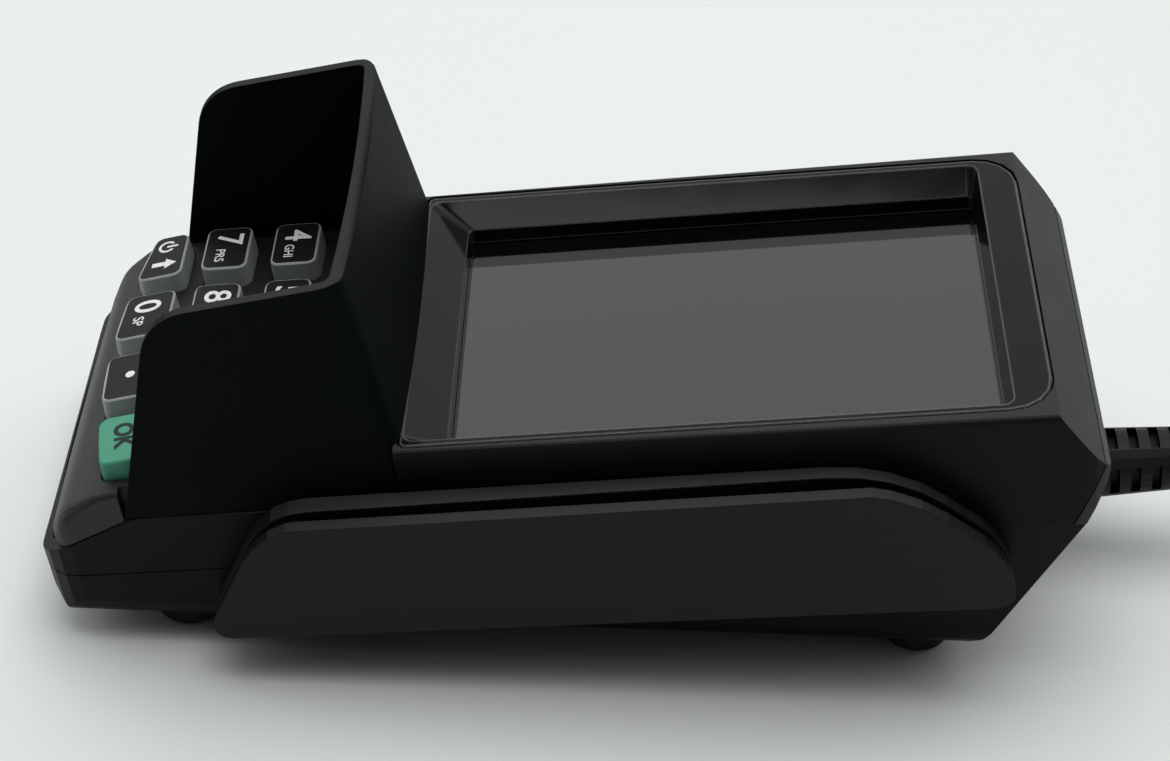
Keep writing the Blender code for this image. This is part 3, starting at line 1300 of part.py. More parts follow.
def build_screws():
    for index, place in enumerate(SCREW_PLACES):
        levels = [
            circle_ring(SCREW_HEAD_RADIUS, SCREW_SHOULDER - SCREW_HEAD_HEIGHT, place, SMALL_ROUND_STEPS),
            circle_ring(SCREW_HEAD_RADIUS, SCREW_SHOULDER, place, SMALL_ROUND_STEPS),
            circle_ring(SCREW_RADIUS, SCREW_SHOULDER, place, SMALL_ROUND_STEPS),
            circle_ring(SCREW_RADIUS, SCREW_TOP, place, SMALL_ROUND_STEPS),
        ]
        part(stacked(f"housing_screw_{index + 1}", levels), STEEL)
    low = FOOT_HEIGHT + COVER_SCREW_SINK
    seat = low + COVER_SCREW_HEAD_HEIGHT
    levels = [
        circle_ring(SCREW_HEAD_RADIUS, low, COVER_SCREW_PLACE, SMALL_ROUND_STEPS),
        circle_ring(SCREW_HEAD_RADIUS, seat, COVER_SCREW_PLACE, SMALL_ROUND_STEPS),
        circle_ring(SCREW_RADIUS, seat, COVER_SCREW_PLACE, SMALL_ROUND_STEPS),
        circle_ring(SCREW_RADIUS, seat + COVER_SCREW_LENGTH, COVER_SCREW_PLACE, SMALL_ROUND_STEPS),
    ]
    part(stacked("cover_screw", levels), STEEL, None)


def build_feet():
    for name, place in FOOT_PLACES.items():
        levels = [
            circle_ring(FOOT_RADIUS - FOOT_EDGE, 0, place),
            circle_ring(FOOT_RADIUS, FOOT_EDGE, place),
            circle_ring(FOOT_RADIUS, FOOT_HEIGHT + FOOT_RECESS - FIT, place),
        ]
        part(stacked(name, levels), RUBBER, None)


def build_cable_boot():
    place = (0, -BOOT_DROP)
    flange_back = BOOT_FACET - BOOT_FLANGE_SETBACK
    levels = [
        (BOOT_FLANGE_RADIUS, flange_back - BOOT_FLANGE_THICKNESS),
        (BOOT_FLANGE_RADIUS, flange_back),
        (BOOT_NECK_RADIUS, flange_back),
        (BOOT_NECK_RADIUS, BOOT_RIB_START),
        (BOOT_START_RADIUS, BOOT_RIB_START),
        (BOOT_END_RADIUS, BOOT_END),
    ]
    rings = [circle_ring(radius, -v, place, BOOT_STEPS, ALONG) for radius, v in levels]
    made = part(stacked("cable_boot", rings), RUBBER)
    slots = []
    for index in range(BOOT_RIBS - 1):
        low = BOOT_RIB_START + (index + BOOT_RIB_SHARE) * BOOT_PITCH
        high = BOOT_RIB_START + (index + 1) * BOOT_PITCH
        near, far = BOOT_CORE_RADIUS, BOOT_START_RADIUS + FIT
        half = near - BOOT_WEB_SETBACK
        for x_low, x_high, w_low, w_high in (
            (-half, half, near, far),
            (-half, half, -far, -near),
            (near, far, -half, half),
            (-far, -near, -half, half),
        ):
            corner = (x_low, low, w_low - BOOT_DROP)
            opposite = (x_high, high, w_high - BOOT_DROP)
            slots.append(block("boot_slots", corner, opposite))
    return cut(made, cutter(joined("boot_slots", slots)))


CORD_DIAMETER = 2 * CORD_RADIUS
BOOT_MOUTH = ground_place(0, BOOT_END + FIT, -BOOT_DROP)
BOOT_AIM = Vector((0, COS_TILT, SIN_TILT))
COIL_OUTER = COIL_RADIUS + CORD_STEP * COIL_TURNS_IN_A_LAYER / 2
COIL_CENTRE = Vector((0, COIL_FROM_ORIGIN, CORD_RADIUS))


def eased(share):
    """Smooth step from 0 to 1."""
    held = min(max(share, 0), 1)
    return held * held * (3 - 2 * held)


def coil_point(turn):
    """A point of the coil after so many turns; it spirals in and out again, one layer after the other."""
    layer = min(int(turn / COIL_TURNS_IN_A_LAYER), COIL_LAYERS - 1)
    within = turn - layer * COIL_TURNS_IN_A_LAYER
    inward = within if layer % 2 == 0 else COIL_TURNS_IN_A_LAYER - within
    radius = COIL_OUTER - CORD_STEP * inward
    climbs = [eased((turn - change * COIL_TURNS_IN_A_LAYER) / CLIMB_TURN_SHARE + HALF_SHARE)
              for change in range(1, COIL_LAYERS)]
    angle = math.tau * turn
    return COIL_CENTRE + Vector((radius * math.cos(angle), radius * math.sin(angle), CORD_STEP * sum(climbs)))


def coil_points():
    count = COIL_HALF_TURNS * COIL_POINTS_IN_A_TURN // 2
    wound = [coil_point(index / COIL_POINTS_IN_A_TURN) for index in range(count + 1)]
    straight = Vector((0, CORD_DIAMETER, 0))
    return [wound[0] - straight, *wound, wound[-1] - straight]


def least_gap(points, apart):
    """Least gap between lengths of the tube that lie at least so many points apart."""
    least = math.inf
    for index, point in enumerate(points):
        for other in range(index + apart, len(points) - 1):
            step = points[other + 1] - points[other]
            share = min(max((point - points[other]).dot(step) / step.length_squared, 0), 1)
            least = min(least, (points[other] + step * share - point).length)
    return least - CORD_DIAMETER


def smooth_route(places):
    """Evenly spaced points on a smooth curve through the places of a route."""
    ends = [places[0] * 2 - places[1], *places, places[-1] * 2 - places[-2]]
    dense = []
    for index in range(1, len(ends) - 2):
        before, start, end, after = ends[index - 1:index + 3]
        for step in range(ROUTE_STEPS):
            t = step / ROUTE_STEPS
            pull_start = (end - before) / 2
            pull_end = (after - start) / 2
            dense.append(
                start * (2 * t ** 3 - 3 * t ** 2 + 1)
                + pull_start * (t ** 3 - 2 * t ** 2 + t)
                + end * (3 * t ** 2 - 2 * t ** 3)
                + pull_end * (t ** 3 - t ** 2)
            )
    dense.append(places[-1])
    travelled = [0]
    for before, after in zip(dense, dense[1:]):
        travelled.append(travelled[-1] + (after - before).length)
    count = round(travelled[-1] / CORD_DIAMETER)
    points = []
    for index in range(count + 1):
        goal = travelled[-1] * index / count
        nearest = min(range(len(dense)), key=lambda place: abs(travelled[place] - goal))
        points.append(dense[nearest])
    return points


def tube(name, points, fineness):
    curve = bpy.data.curves.new(name, "CURVE")
    curve.dimensions = "3D"
    curve.bevel_depth = CORD_RADIUS
    curve.bevel_resolution = fineness
    curve.use_fill_caps = True
    spline = curve.splines.new("POLY")
    spline.points.add(len(points) - 1)
    for point, place in zip(spline.points, points):
        point.co = (*place, 1)
    made = bpy.data.objects.new(name, curve)
    curve.materials.append(RUBBER)
    parts.objects.link(made)
    return made


def build_cord():
    coil = coil_points()
    gap = Vector((0, FIT, 0))
    start = [BOOT_MOUTH, BOOT_MOUTH + BOOT_AIM * CORD_DIAMETER]
    lead = [*start, *(Vector(place) for place in LEAD_ROUTE), coil[0] - gap * 2, coil[0] - gap]
    tube("cord_lead", smooth_route(lead), CORD_RING_STEPS)
    tube("cord_coil", coil, COIL_RING_STEPS)
    tail = [coil[-1] - gap, coil[-1] - gap * 2, *(Vector(place) for place in TAIL_ROUTE)]
    tube("cord_tail", smooth_route(tail), CORD_RING_STEPS)
    gap_left = least_gap(coil, COIL_POINTS_IN_A_TURN // 3)
    print("least gap of the coil to itself, mm:", round(gap_left * 1000, 2))

    end = tail[-1]
    half, tall = PLUG_GRIP_WIDTH / 2, PLUG_GRIP_HEIGHT / 2
    grip = rectangle(end.y - half, end.y + half, end.z - tall, end.z + tall, PLUG_GRIP_EDGE)
    start = end.x + FIT
    slim = rounded(inset(grip, PLUG_GRIP_EDGE / 2))
    levels = [
        ring(slim, start, ACROSS),
        ring(rounded(grip), start + PLUG_GRIP_EDGE, ACROSS),
        ring(rounded(grip), start + PLUG_GRIP_LENGTH - PLUG_GRIP_EDGE / 2, ACROSS),
        ring(slim, start + PLUG_GRIP_LENGTH, ACROSS),
    ]
    part(stacked("plug_grip", levels), BLACK_PLASTIC, None)
    half, tall = PLUG_SHELL_WIDTH / 2, PLUG_SHELL_HEIGHT / 2
    shell = rectangle(end.y - half, end.y + half, end.z - tall, end.z + tall)
    bore = rounded(inset(shell, PLUG_SHELL_WALL))
    shell = [(*corner[:2], PLUG_SHELL_WALL) for corner in shell]
    low = start + PLUG_GRIP_LENGTH + FIT
    part(slab("plug_shell", [rounded(shell), bore], low, low + PLUG_SHELL_LENGTH, ACROSS), STEEL, None)


build_upper_housing()
build_rear_cover()
build_lower_housing()
build_bottom_cover()
build_keypad_deck()
for key_name, key_place in KEY_PLACES.items():
    build_key(key_name, *key_place)
build_keypad_mat()
build_main_board()
build_privacy_shield()
build_swipe_rail()
build_screen_bezel()
build_screen()
build_chip_reader()
build_mag_head()
build_under_board()
build_screws()
build_feet()
build_cable_boot()
build_cord()
bpy.context.view_layer.update()
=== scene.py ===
import math

import bmesh
import bpy
from mathutils import Matrix, Vector


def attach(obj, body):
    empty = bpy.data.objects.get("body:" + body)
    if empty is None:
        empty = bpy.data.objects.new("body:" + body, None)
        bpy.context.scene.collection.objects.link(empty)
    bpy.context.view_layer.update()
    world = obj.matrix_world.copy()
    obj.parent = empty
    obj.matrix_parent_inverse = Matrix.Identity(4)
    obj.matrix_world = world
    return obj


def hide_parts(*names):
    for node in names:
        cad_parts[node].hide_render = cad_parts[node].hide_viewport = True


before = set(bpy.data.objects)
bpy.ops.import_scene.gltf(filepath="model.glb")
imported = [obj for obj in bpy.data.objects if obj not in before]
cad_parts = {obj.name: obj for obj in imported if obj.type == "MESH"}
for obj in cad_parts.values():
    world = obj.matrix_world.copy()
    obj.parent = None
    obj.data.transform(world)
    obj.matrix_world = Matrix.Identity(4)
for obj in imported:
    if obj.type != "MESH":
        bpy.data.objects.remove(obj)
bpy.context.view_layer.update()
scene = bpy.context.scene

# The casing's own coordinates: x across, v from keypad to cord, w up from the display plane
TILT = math.radians(7.5)
CASING_ORIGIN = Vector((-0.00355, 0.028079, 0.0583))
CASING = Matrix.Translation(CASING_ORIGIN) @ Matrix.Rotation(TILT, 4, "X")

# Camera
CAMERA_PLACE = (0.36575, 0.00442, 0.34507)
CAMERA_TURN = (0.8744, -0.0273, 1.5960)
CAMERA_LENS = 77.57
CAMERA_SENSOR = 36
CAMERA_NEAR, CAMERA_FAR = 0.01, 50

eye = bpy.data.cameras.new("view_camera")
eye.lens = CAMERA_LENS
eye.sensor_width = CAMERA_SENSOR
eye.sensor_fit = "HORIZONTAL"
eye.clip_start = CAMERA_NEAR
eye.clip_end = CAMERA_FAR
camera = bpy.data.objects.new("view_camera", eye)
camera.location = CAMERA_PLACE
camera.rotation_euler = CAMERA_TURN
scene.collection.objects.link(camera)
scene.camera = camera

# Cord
CORD_DIAMETER = 0.006
CORD_STEP = 0.0066
BOOT_MOUTH = Vector((-0.00355, 0.12566, 0.02344))
COIL_CENTRE = Vector((0, 0.2040, 0.0030))
COIL_OUTER = 0.0396
COIL_LAYERS = 5
COIL_TURNS = 8.5
TURNS_IN_A_LAYER = 2
POINTS_IN_A_TURN = 72
TURNS_TO_CLIMB = 0.5
ROUTE_STEPS = 12
CORD_ROUNDNESS = 4
CORD_MERGE = CORD_DIAMETER / 100
LEAD_ROUTE = (
    (-0.00355, 0.1340, 0.02430), (-0.00203, 0.1435, 0.02390), (0.00239, 0.1520, 0.02190),
    (0.00926, 0.1587, 0.01840), (0.01790, 0.1630, 0.01410), (0.02680, 0.1673, 0.00980),
    (0.03370, 0.1740, 0.00620), (0.03810, 0.1825, 0.00390), (0.03960, 0.1920, 0.00305),
)
TAIL_ROUTE = (
    (-0.0354, 0.1913, 0.02945), (-0.0328, 0.1850, 0.02955), (-0.0287, 0.1796, 0.02965),
    (-0.0233, 0.1755, 0.02975), (-0.0170, 0.1729, 0.02980), (-0.0100, 0.1720, 0.02980),
)


def eased(share):
    """A share from 0 to 1 that starts and ends gently."""
    held = min(max(share, 0), 1)
    return held * held * (3 - 2 * held)


def coil_point(turn):
    """The cord's middle after so many turns, which run inwards and outwards in turn, layer on layer."""
    layer = min(int(turn / TURNS_IN_A_LAYER), COIL_LAYERS - 1)
    within = turn - layer * TURNS_IN_A_LAYER
    inward = within if layer % 2 == 0 else TURNS_IN_A_LAYER - within
    radius = COIL_OUTER - CORD_STEP * inward
    changes = [change * TURNS_IN_A_LAYER for change in range(1, COIL_LAYERS)]
    climb = sum(eased((turn - change) / TURNS_TO_CLIMB + 0.5) for change in changes)
    angle = math.tau * turn
    return COIL_CENTRE + Vector((radius * math.cos(angle), radius * math.sin(angle), CORD_STEP * climb))


def smooth_route(places):
    """Points on a smooth curve through the places of a route."""
    ends = [places[0] * 2 - places[1], *places, places[-1] * 2 - places[-2]]
    points = []
    for index in range(1, len(ends) - 2):
        before, start, end, after = ends[index - 1:index + 3]
        for step in range(ROUTE_STEPS):
            t = step / ROUTE_STEPS
            points.append(
                start * (2 * t ** 3 - 3 * t ** 2 + 1)
                + (end - before) / 2 * (t ** 3 - 2 * t ** 2 + t)
                + end * (3 * t ** 2 - 2 * t ** 3)
                + (after - start) / 2 * (t ** 3 - t ** 2)
            )
    return [*points, places[-1]]


def make_cord():
    """The cord from boot to plug as one tube, and the points of its middle line."""
    count = int(COIL_TURNS * POINTS_IN_A_TURN)
    coil = [coil_point(index / POINTS_IN_A_TURN) for index in range(count + 1)]
    straight = Vector((0, CORD_DIAMETER, 0))
    lead = smooth_route([BOOT_MOUTH, *(Vector(place) for place in LEAD_ROUTE), coil[0] - straight])
    tail = smooth_route([coil[-1] - straight, *(Vector(place) for place in TAIL_ROUTE)])
    points = [*lead, *coil, *tail]
    curve = bpy.data.curves.new("cord", "CURVE")
    curve.dimensions = "3D"
    curve.bevel_depth = CORD_DIAMETER / 2
    curve.bevel_resolution = CORD_ROUNDNESS
    curve.use_fill_caps = True
    spline = curve.splines.new("POLY")
    spline.points.add(len(points) - 1)
    for point, place in zip(spline.points, points):
        point.co = (*place, 1)
    line = bpy.data.objects.new("cord_line", curve)
    scene.collection.objects.link(line)
    bpy.context.view_layer.update()
    tube = bpy.data.meshes.new_from_object(line.evaluated_get(bpy.context.evaluated_depsgraph_get()))
    bpy.data.objects.remove(line)
    shape = bmesh.new()
    shape.from_mesh(tube)
    bmesh.ops.remove_doubles(shape, verts=shape.verts, dist=CORD_MERGE)
    bmesh.ops.recalc_face_normals(shape, faces=shape.faces)
    for face in shape.faces:
        face.smooth = len(face.verts) == 4
    shape.to_mesh(tube)
    shape.free()
    made = bpy.data.objects.new("cord", tube)
    scene.collection.objects.link(made)
    return made, points


cord, cord_path = make_cord()
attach(cord, "terminal")
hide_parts("cord_lead", "cord_coil", "cord_tail")


# Finishes
BEVEL_SAMPLES = 4
# How far up a surface points where the painted sheen on tops starts to show, and where it is full
SHEEN_STARTS, SHEEN_FULL = 0.70, 0.97
# How well the softened and the plain normal agree where an edge starts, and where it is full
EDGE_STARTS, EDGE_FULL = 0.995, 0.90

# Scales of patterns, in cells to the metre
PLASTIC_CLOUD = 70.0
PLASTIC_GRAIN = 2600.0
SHIELD_GRAIN = 2200.0
GLOSS_CLOUD = 28.0
GLOSS_DUST = 3800.0
GLOSS_WAVE = 75.0
GLOSS_GRIT = 1100.0
GLASS_CLOUD = 24.0
GLASS_GRAIN = 1500.0
RUBBER_CLOUD = 120.0
RUBBER_GRAIN = 1900.0
METAL_CLOUD = 300.0
METAL_LINES = 420.0
METAL_STRETCH = (1.0, 14.0, 14.0)
BOARD_WEAVE = 900.0
BOARD_TRACKS = 260.0
BOARD_PADS = 330.0
SILICONE_CLOUD = 160.0
SILICONE_GRAIN = 3200.0
INK_COAT = 900.0
INK_GRAIN = 4200.0

# Heights of reliefs and radii of softened edges, in metres
PLASTIC_RELIEF = 0.00002
SHIELD_RELIEF = 0.00003
GLOSS_RELIEF = 0.0003
GRIT_RELIEF = 0.00012
GLASS_RELIEF = 0.000004
RUBBER_RELIEF = 0.00004
METAL_RELIEF = 0.00001
BOARD_RELIEF = 0.00003
SILICONE_RELIEF = 0.00001
INK_RELIEF = 0.000008
PLASTIC_EDGE = 0.00030
RAIL_EDGE = 0.00045
GLOSS_EDGE = 0.00060
SILICONE_EDGE = 0.00025

# Moulded plastic: specks of grain, painted highlights on edges and painted sheen on tops
PLASTIC_STRENGTH = 0.55
PLASTIC_SPECULAR = 0.4
PLASTIC_CLOUD_SPAN = 0.10
PLASTIC_GRAIN_SPAN = 0.12
SPECKS_ABOVE = 0.66
SPECK_SHARE = 0.35
SPECK_LIGHT = 1.9
# Painted highlight on edges: how much of it, and how much lighter
EDGE_HIGHLIGHT_SHARE = 0.30
EDGE_HIGHLIGHT_LIGHT = 2.2
EDGE_POLISH = 0.12
# Painted sheen on up-facing surfaces: its least share, and how much patches add
SHEEN_LEAST, SHEEN_PATCHES = 0.75, 0.5

# Deck
DECK_SPECK_SHARE = 0.10
DECK_ROUGHNESS = 0.52
DECK_STAIN = (0.0, 0.0, 0.0)
DECK_STAIN_SHARE = 0.5
# Painted shade between the keys: it darkens between these places along the terminal, with a border that
# wanders a little
DECK_SHADE_SPAN = (-0.1125, -0.1020)
DECK_SHADE_WANDER = 0.002

# Gloss
GLOSS_SPECULAR = 0.17
GLOSS_ROUGHNESS = 0.070
GLOSS_CLOUD_SPAN = 0.05
GLOSS_WAVE_STRENGTH = 0.16
DUST_ABOVE = 0.78
DUST_SHARE = 0.5
DUST_ROUGHNESS = 0.25
LIT_LEAST, LIT_GRIT = 0.30, 0.7
GRIT_STRENGTH = 0.25

# Circuit board
MASK_DARK, MASK_LIGHT = (0.006, 0.070, 0.030), (0.010, 0.105, 0.045)
TRACK_COLOR = (0.020, 0.170, 0.075)
TRACK_SHARE = 0.5
PAD_COLOR = (0.70, 0.52, 0.22)
PAD_REACH = 0.16
BLACK_MASK, WHITE_MASK = (0, 0, 0, 1), (1, 1, 1, 1)


class Signal:
    """A node's output, for sums and products that add their own Math nodes."""

    def __init__(self, finish, socket):
        self.finish = finish
        self.socket = socket

    def worked(self, operation, first, second):
        return self.finish.node("ShaderNodeMath", {"operation": operation}, {0: first, 1: second})

    def __add__(self, other):
        return self.worked("ADD", self, other)

    def __radd__(self, other):
        return self.worked("ADD", other, self)

    def __sub__(self, other):
        return self.worked("SUBTRACT", self, other)

    def __rsub__(self, other):
        return self.worked("SUBTRACT", other, self)

    def __mul__(self, other):
        return self.worked("MULTIPLY", self, other)

    def __rmul__(self, other):
        return self.worked("MULTIPLY", other, self)

    def __gt__(self, other):
        return self.worked("GREATER_THAN", self, other)

    def __lt__(self, other):
        return self.worked("LESS_THAN", self, other)


class Finish:
    """A material in the making: its nodes are added by name, with settings and socket values."""

    def __init__(self, name):
        self.material = bpy.data.materials.new(name)
        self.material.use_nodes = True
        self.tree = self.material.node_tree
        self.shader = self.tree.nodes["Principled BSDF"]

    def put(self, socket, value):
        if isinstance(value, Signal):
            self.tree.links.new(value.socket, socket)
        elif isinstance(value, tuple) and len(value) == 3 and len(socket.default_value) == 4:
            socket.default_value = (*value, 1)
        else:
            socket.default_value = value

    def node(self, kind, settings=None, values=None, output=0):
        made = self.tree.nodes.new(kind)
        for name, value in (settings or {}).items():
            setattr(made, name, value)
        for name, value in (values or {}).items():
            self.put(made.inputs[name], value)
        return Signal(self, made.outputs[output])

    def shade(self, values):
        for name, value in values.items():
            self.put(self.shader.inputs[name], value)

    def place(self):
        return self.node("ShaderNodeTexCoord", output="Object")

    def noise(self, scale, detail=2.0, roughness=0.5):
        values = {"Vector": self.place(), "Scale": scale, "Detail": detail, "Roughness": roughness}
        return self.node("ShaderNodeTexNoise", {}, values, "Fac")

    def mixed(self, share, first, second):
        values = {"Factor": share, 6: first, 7: second}
        return self.node("ShaderNodeMix", {"data_type": "RGBA"}, values, 2)

    def mottled(self, pattern, color, dark, light):
        """A colour that goes with a pattern from a darker to a lighter tone of itself."""
        return self.mixed(pattern, lighter(color, dark), lighter(color, light))

    def softened(self, radius):
        return self.node("ShaderNodeBevel", {"samples": BEVEL_SAMPLES}, {"Radius": radius})

    def upward(self):
        """How much a surface faces up, from 0 to 1."""
        facing = self.node("ShaderNodeTexCoord", output="Normal")
        height = self.node("ShaderNodeSeparateXYZ", {}, {"Vector": facing}, "Z")
        values = {"Value": height, "From Min": SHEEN_STARTS, "From Max": SHEEN_FULL}
        return self.node("ShaderNodeMapRange", {"interpolation_type": "SMOOTHSTEP"}, values)

    def edge_mask(self, soft):
        """How much a place lies on an edge, from 0 to 1."""
        plain = self.node("ShaderNodeNewGeometry", output="Normal")
        facing = self.node(
            "ShaderNodeVectorMath", {"operation": "DOT_PRODUCT"}, {0: soft, 1: plain}, "Value",
        )
        values = {"Value": facing, "From Min": EDGE_STARTS, "From Max": EDGE_FULL}
        return self.node("ShaderNodeMapRange", {}, values)

    def bumped(self, height, strength, distance, normal=None):
        values = {"Height": height, "Strength": strength, "Distance": distance}
        if normal is not None:
            values["Normal"] = normal
        return self.node("ShaderNodeBump", {}, values)


def lighter(color, factor):
    return tuple(min(part * factor, 1) for part in color)


def uneven(level, *patterns):
    """A level that each pattern raises and lowers by half of its span."""
    for pattern, span in patterns:
        level = level + (pattern - 0.5) * span
    return level


def moulded_plastic(
    name, color, roughness, specular=PLASTIC_SPECULAR, grain=PLASTIC_GRAIN, relief=PLASTIC_RELIEF,
    edge=PLASTIC_EDGE, top=None,
):
    """Spark-eroded plastic: mottled tone, fine grain, edges with a painted highlight and a little polish,
    and a painted sheen on tops.
    """
    made = Finish(name)
    cloud = made.noise(PLASTIC_CLOUD, detail=3.0)
    fine = made.noise(grain, detail=2.0, roughness=0.6)
    soft = made.softened(edge)
    on_edge = made.edge_mask(soft)
    tone = made.mottled(cloud, color, dark=0.82, light=1.18)
    # Painted sheen: up-facing surfaces turn lighter, in patches
    if top:
        sheen_share = made.upward() * (SHEEN_LEAST + cloud * SHEEN_PATCHES)
        tone = made.mixed(sheen_share, tone, top)
    specks = (fine > SPECKS_ABOVE) * SPECK_SHARE
    speckled = made.mixed(specks, tone, lighter(color, SPECK_LIGHT))
    # Edges get a lighter colour as a painted highlight, and less roughness as polish
    polished = roughness - EDGE_POLISH * on_edge
    made.shade({
        "Base Color": made.mixed(on_edge * EDGE_HIGHLIGHT_SHARE, speckled, lighter(color, EDGE_HIGHLIGHT_LIGHT)),
        "Roughness": uneven(polished, (cloud, PLASTIC_CLOUD_SPAN), (fine, PLASTIC_GRAIN_SPAN)),
        "Specular IOR Level": specular,
        "Normal": made.bumped(fine, PLASTIC_STRENGTH, relief, soft),
    })
    return made.material


def deck_plastic(name, color, painted_shade_color):
    """The deck's plastic, with painted shade between the keys, where the shield would shadow it."""
    made = Finish(name)
    cloud = made.noise(PLASTIC_CLOUD, detail=3.0)
    fine = made.noise(PLASTIC_GRAIN, detail=2.0, roughness=0.6)
    along = made.node("ShaderNodeSeparateXYZ", {}, {"Vector": made.place()}, "Y")
    shade_share = made.node("ShaderNodeMapRange", {"interpolation_type": "SMOOTHSTEP"}, {
        "Value": along + cloud * DECK_SHADE_WANDER, "From Min": DECK_SHADE_SPAN[0], "From Max": DECK_SHADE_SPAN[1],
    })
    # Painted shade: the deck turns to the dark colour between the keys
    tone = made.mixed(shade_share, color, painted_shade_color)
    stained = made.mixed(cloud * DECK_STAIN_SHARE, tone, DECK_STAIN)
    specks = (fine > SPECKS_ABOVE) * DECK_SPECK_SHARE
    made.shade({
        "Base Color": made.mixed(specks, stained, lighter(color, SPECK_LIGHT)),
        "Roughness": uneven(DECK_ROUGHNESS, (cloud, PLASTIC_CLOUD_SPAN), (fine, PLASTIC_GRAIN_SPAN)),
        "Specular IOR Level": PLASTIC_SPECULAR,
        "Normal": made.bumped(fine, PLASTIC_STRENGTH, PLASTIC_RELIEF, made.softened(PLASTIC_EDGE)),
    })
    return made.material


def gloss_plastic(name, color, dust_color, edge_highlight_color):
    """Polished plastic with faint waviness and dust, and painted highlights in gritty lines along its edges.
    """
    made = Finish(name)
    cloud = made.noise(GLOSS_CLOUD, detail=2.0)
    dust = made.noise(GLOSS_DUST, detail=1.0)
    wave = made.noise(GLOSS_WAVE, detail=1.0)
    grit = made.noise(GLOSS_GRIT, detail=2.0)
    soft = made.softened(GLOSS_EDGE)
    on_edge = made.edge_mask(soft)
    specks = dust > DUST_ABOVE
    dusted = made.mixed(specks * DUST_SHARE, color, dust_color)
    wavy = made.bumped(wave, GLOSS_WAVE_STRENGTH, GLOSS_RELIEF, soft)
    # The edges' lighter colour is a painted highlight
    made.shade({
        "Base Color": made.mixed(on_edge * (LIT_LEAST + grit * LIT_GRIT), dusted, edge_highlight_color),
        "Roughness": GLOSS_ROUGHNESS + cloud * GLOSS_CLOUD_SPAN + specks * DUST_ROUGHNESS,
        "Specular IOR Level": GLOSS_SPECULAR,
        "Normal": made.bumped(grit * on_edge, GRIT_STRENGTH, GRIT_RELIEF, wavy),
    })
    return made.material


def screen_glass(name, dark_color, light_color):
    """Polished glass over a switched-off picture, with faint waviness and finger marks."""
    made = Finish(name)
    cloud = made.noise(GLASS_CLOUD, detail=3.0)
    fine = made.noise(GLASS_GRAIN, detail=2.0)
    made.shade({
        "Base Color": made.mixed(cloud, dark_color, light_color),
        "Roughness": uneven(0.030 + cloud * 0.030, (fine, 0.010)),
        "Specular IOR Level": 1.0,
        "Normal": made.bumped(fine, strength=0.05, distance=GLASS_RELIEF),
    })
    return made.material


def rubber(name, color, roughness):
    """Matt rubber with a coarse mottle and a fine grain."""
    made = Finish(name)
    cloud = made.noise(RUBBER_CLOUD, detail=4.0)
    fine = made.noise(RUBBER_GRAIN, detail=3.0, roughness=0.7)
    made.shade({
        "Base Color": made.mottled(cloud, color, dark=0.75, light=1.35),
        "Roughness": uneven(roughness, (cloud, 0.18), (fine, 0.10)),
        "Specular IOR Level": 0.20,
        "Normal": made.bumped(fine * 0.7 + cloud * 0.3, strength=0.6, distance=RUBBER_RELIEF),
    })
    return made.material


def brushed_metal(name, color, roughness):
    """Metal with fine lines along its length."""
    made = Finish(name)
    stretched = made.node("ShaderNodeMapping", {}, {"Vector": made.place(), "Scale": METAL_STRETCH})
    values = {"Vector": stretched, "Scale": METAL_LINES, "Detail": 4.0}
    lines = made.node("ShaderNodeTexNoise", {}, values, "Fac")
    cloud = made.noise(METAL_CLOUD, detail=3.0)
    made.shade({
        "Base Color": made.mottled(cloud, color, dark=0.80, light=1.10),
        "Metallic": 1.0,
        "Roughness": uneven(roughness, (lines, 0.25)),
        "Normal": made.bumped(lines, strength=0.35, distance=METAL_RELIEF),
    })
    return made.material


def circuit_board(name):
    """Solder mask with tracks, vias and pads."""
    made = Finish(name)
    place = made.place()
    weave = made.noise(BOARD_WEAVE, detail=2.0)
    cells = made.node("ShaderNodeTexBrick", {"offset": 0.5}, {
        "Vector": place, "Scale": BOARD_TRACKS, "Mortar Size": 0.10,
        "Color1": BLACK_MASK, "Color2": BLACK_MASK, "Mortar": WHITE_MASK,
    }, "Fac")
    dots = made.node(
        "ShaderNodeTexVoronoi", {}, {"Vector": place, "Scale": BOARD_PADS, "Randomness": 0.6}, "Distance",
    )
    pads = dots < PAD_REACH
    base = made.mixed(weave, MASK_DARK, MASK_LIGHT)
    tracked = made.mixed(cells * TRACK_SHARE, base, TRACK_COLOR)
    made.shade({
        "Base Color": made.mixed(pads, tracked, PAD_COLOR),
        "Metallic": pads,
        "Roughness": uneven(0.38, (weave, 0.15)),
        "Normal": made.bumped(cells * TRACK_SHARE + pads, strength=0.4, distance=BOARD_RELIEF),
    })
    return made.material


def silicone(name, color, roughness=0.52):
    """Moulded key rubber: soft mottling and a fine satin grain."""
    made = Finish(name)
    cloud = made.noise(SILICONE_CLOUD, detail=3.0)
    fine = made.noise(SILICONE_GRAIN, detail=2.0)
    made.shade({
        "Base Color": made.mottled(cloud, color, dark=0.90, light=1.10),
        "Roughness": uneven(roughness, (cloud, 0.12), (fine, 0.10)),
        "Specular IOR Level": 0.4,
        "Normal": made.bumped(fine, 0.4, SILICONE_RELIEF, made.softened(SILICONE_EDGE)),
    })
    return made.material


def printed(name, color, roughness, specular=0.5):
    """Screen-printed ink with a thin, slightly uneven coat."""
    made = Finish(name)
    coat = made.noise(INK_COAT, detail=4.0)
    fine = made.noise(INK_GRAIN, detail=2.0)
    made.shade({
        "Base Color": made.mottled(coat, color, dark=0.80, light=1.15),
        "Roughness": uneven(roughness, (coat, 0.15)),
        "Specular IOR Level": specular,
        "Normal": made.bumped(fine, strength=0.4, distance=INK_RELIEF),
    })
    return made.material


# A lighter colour for up-facing surfaces: a painted sheen
TOP_SHEEN_COLOR = (0.0300, 0.0315, 0.0310)

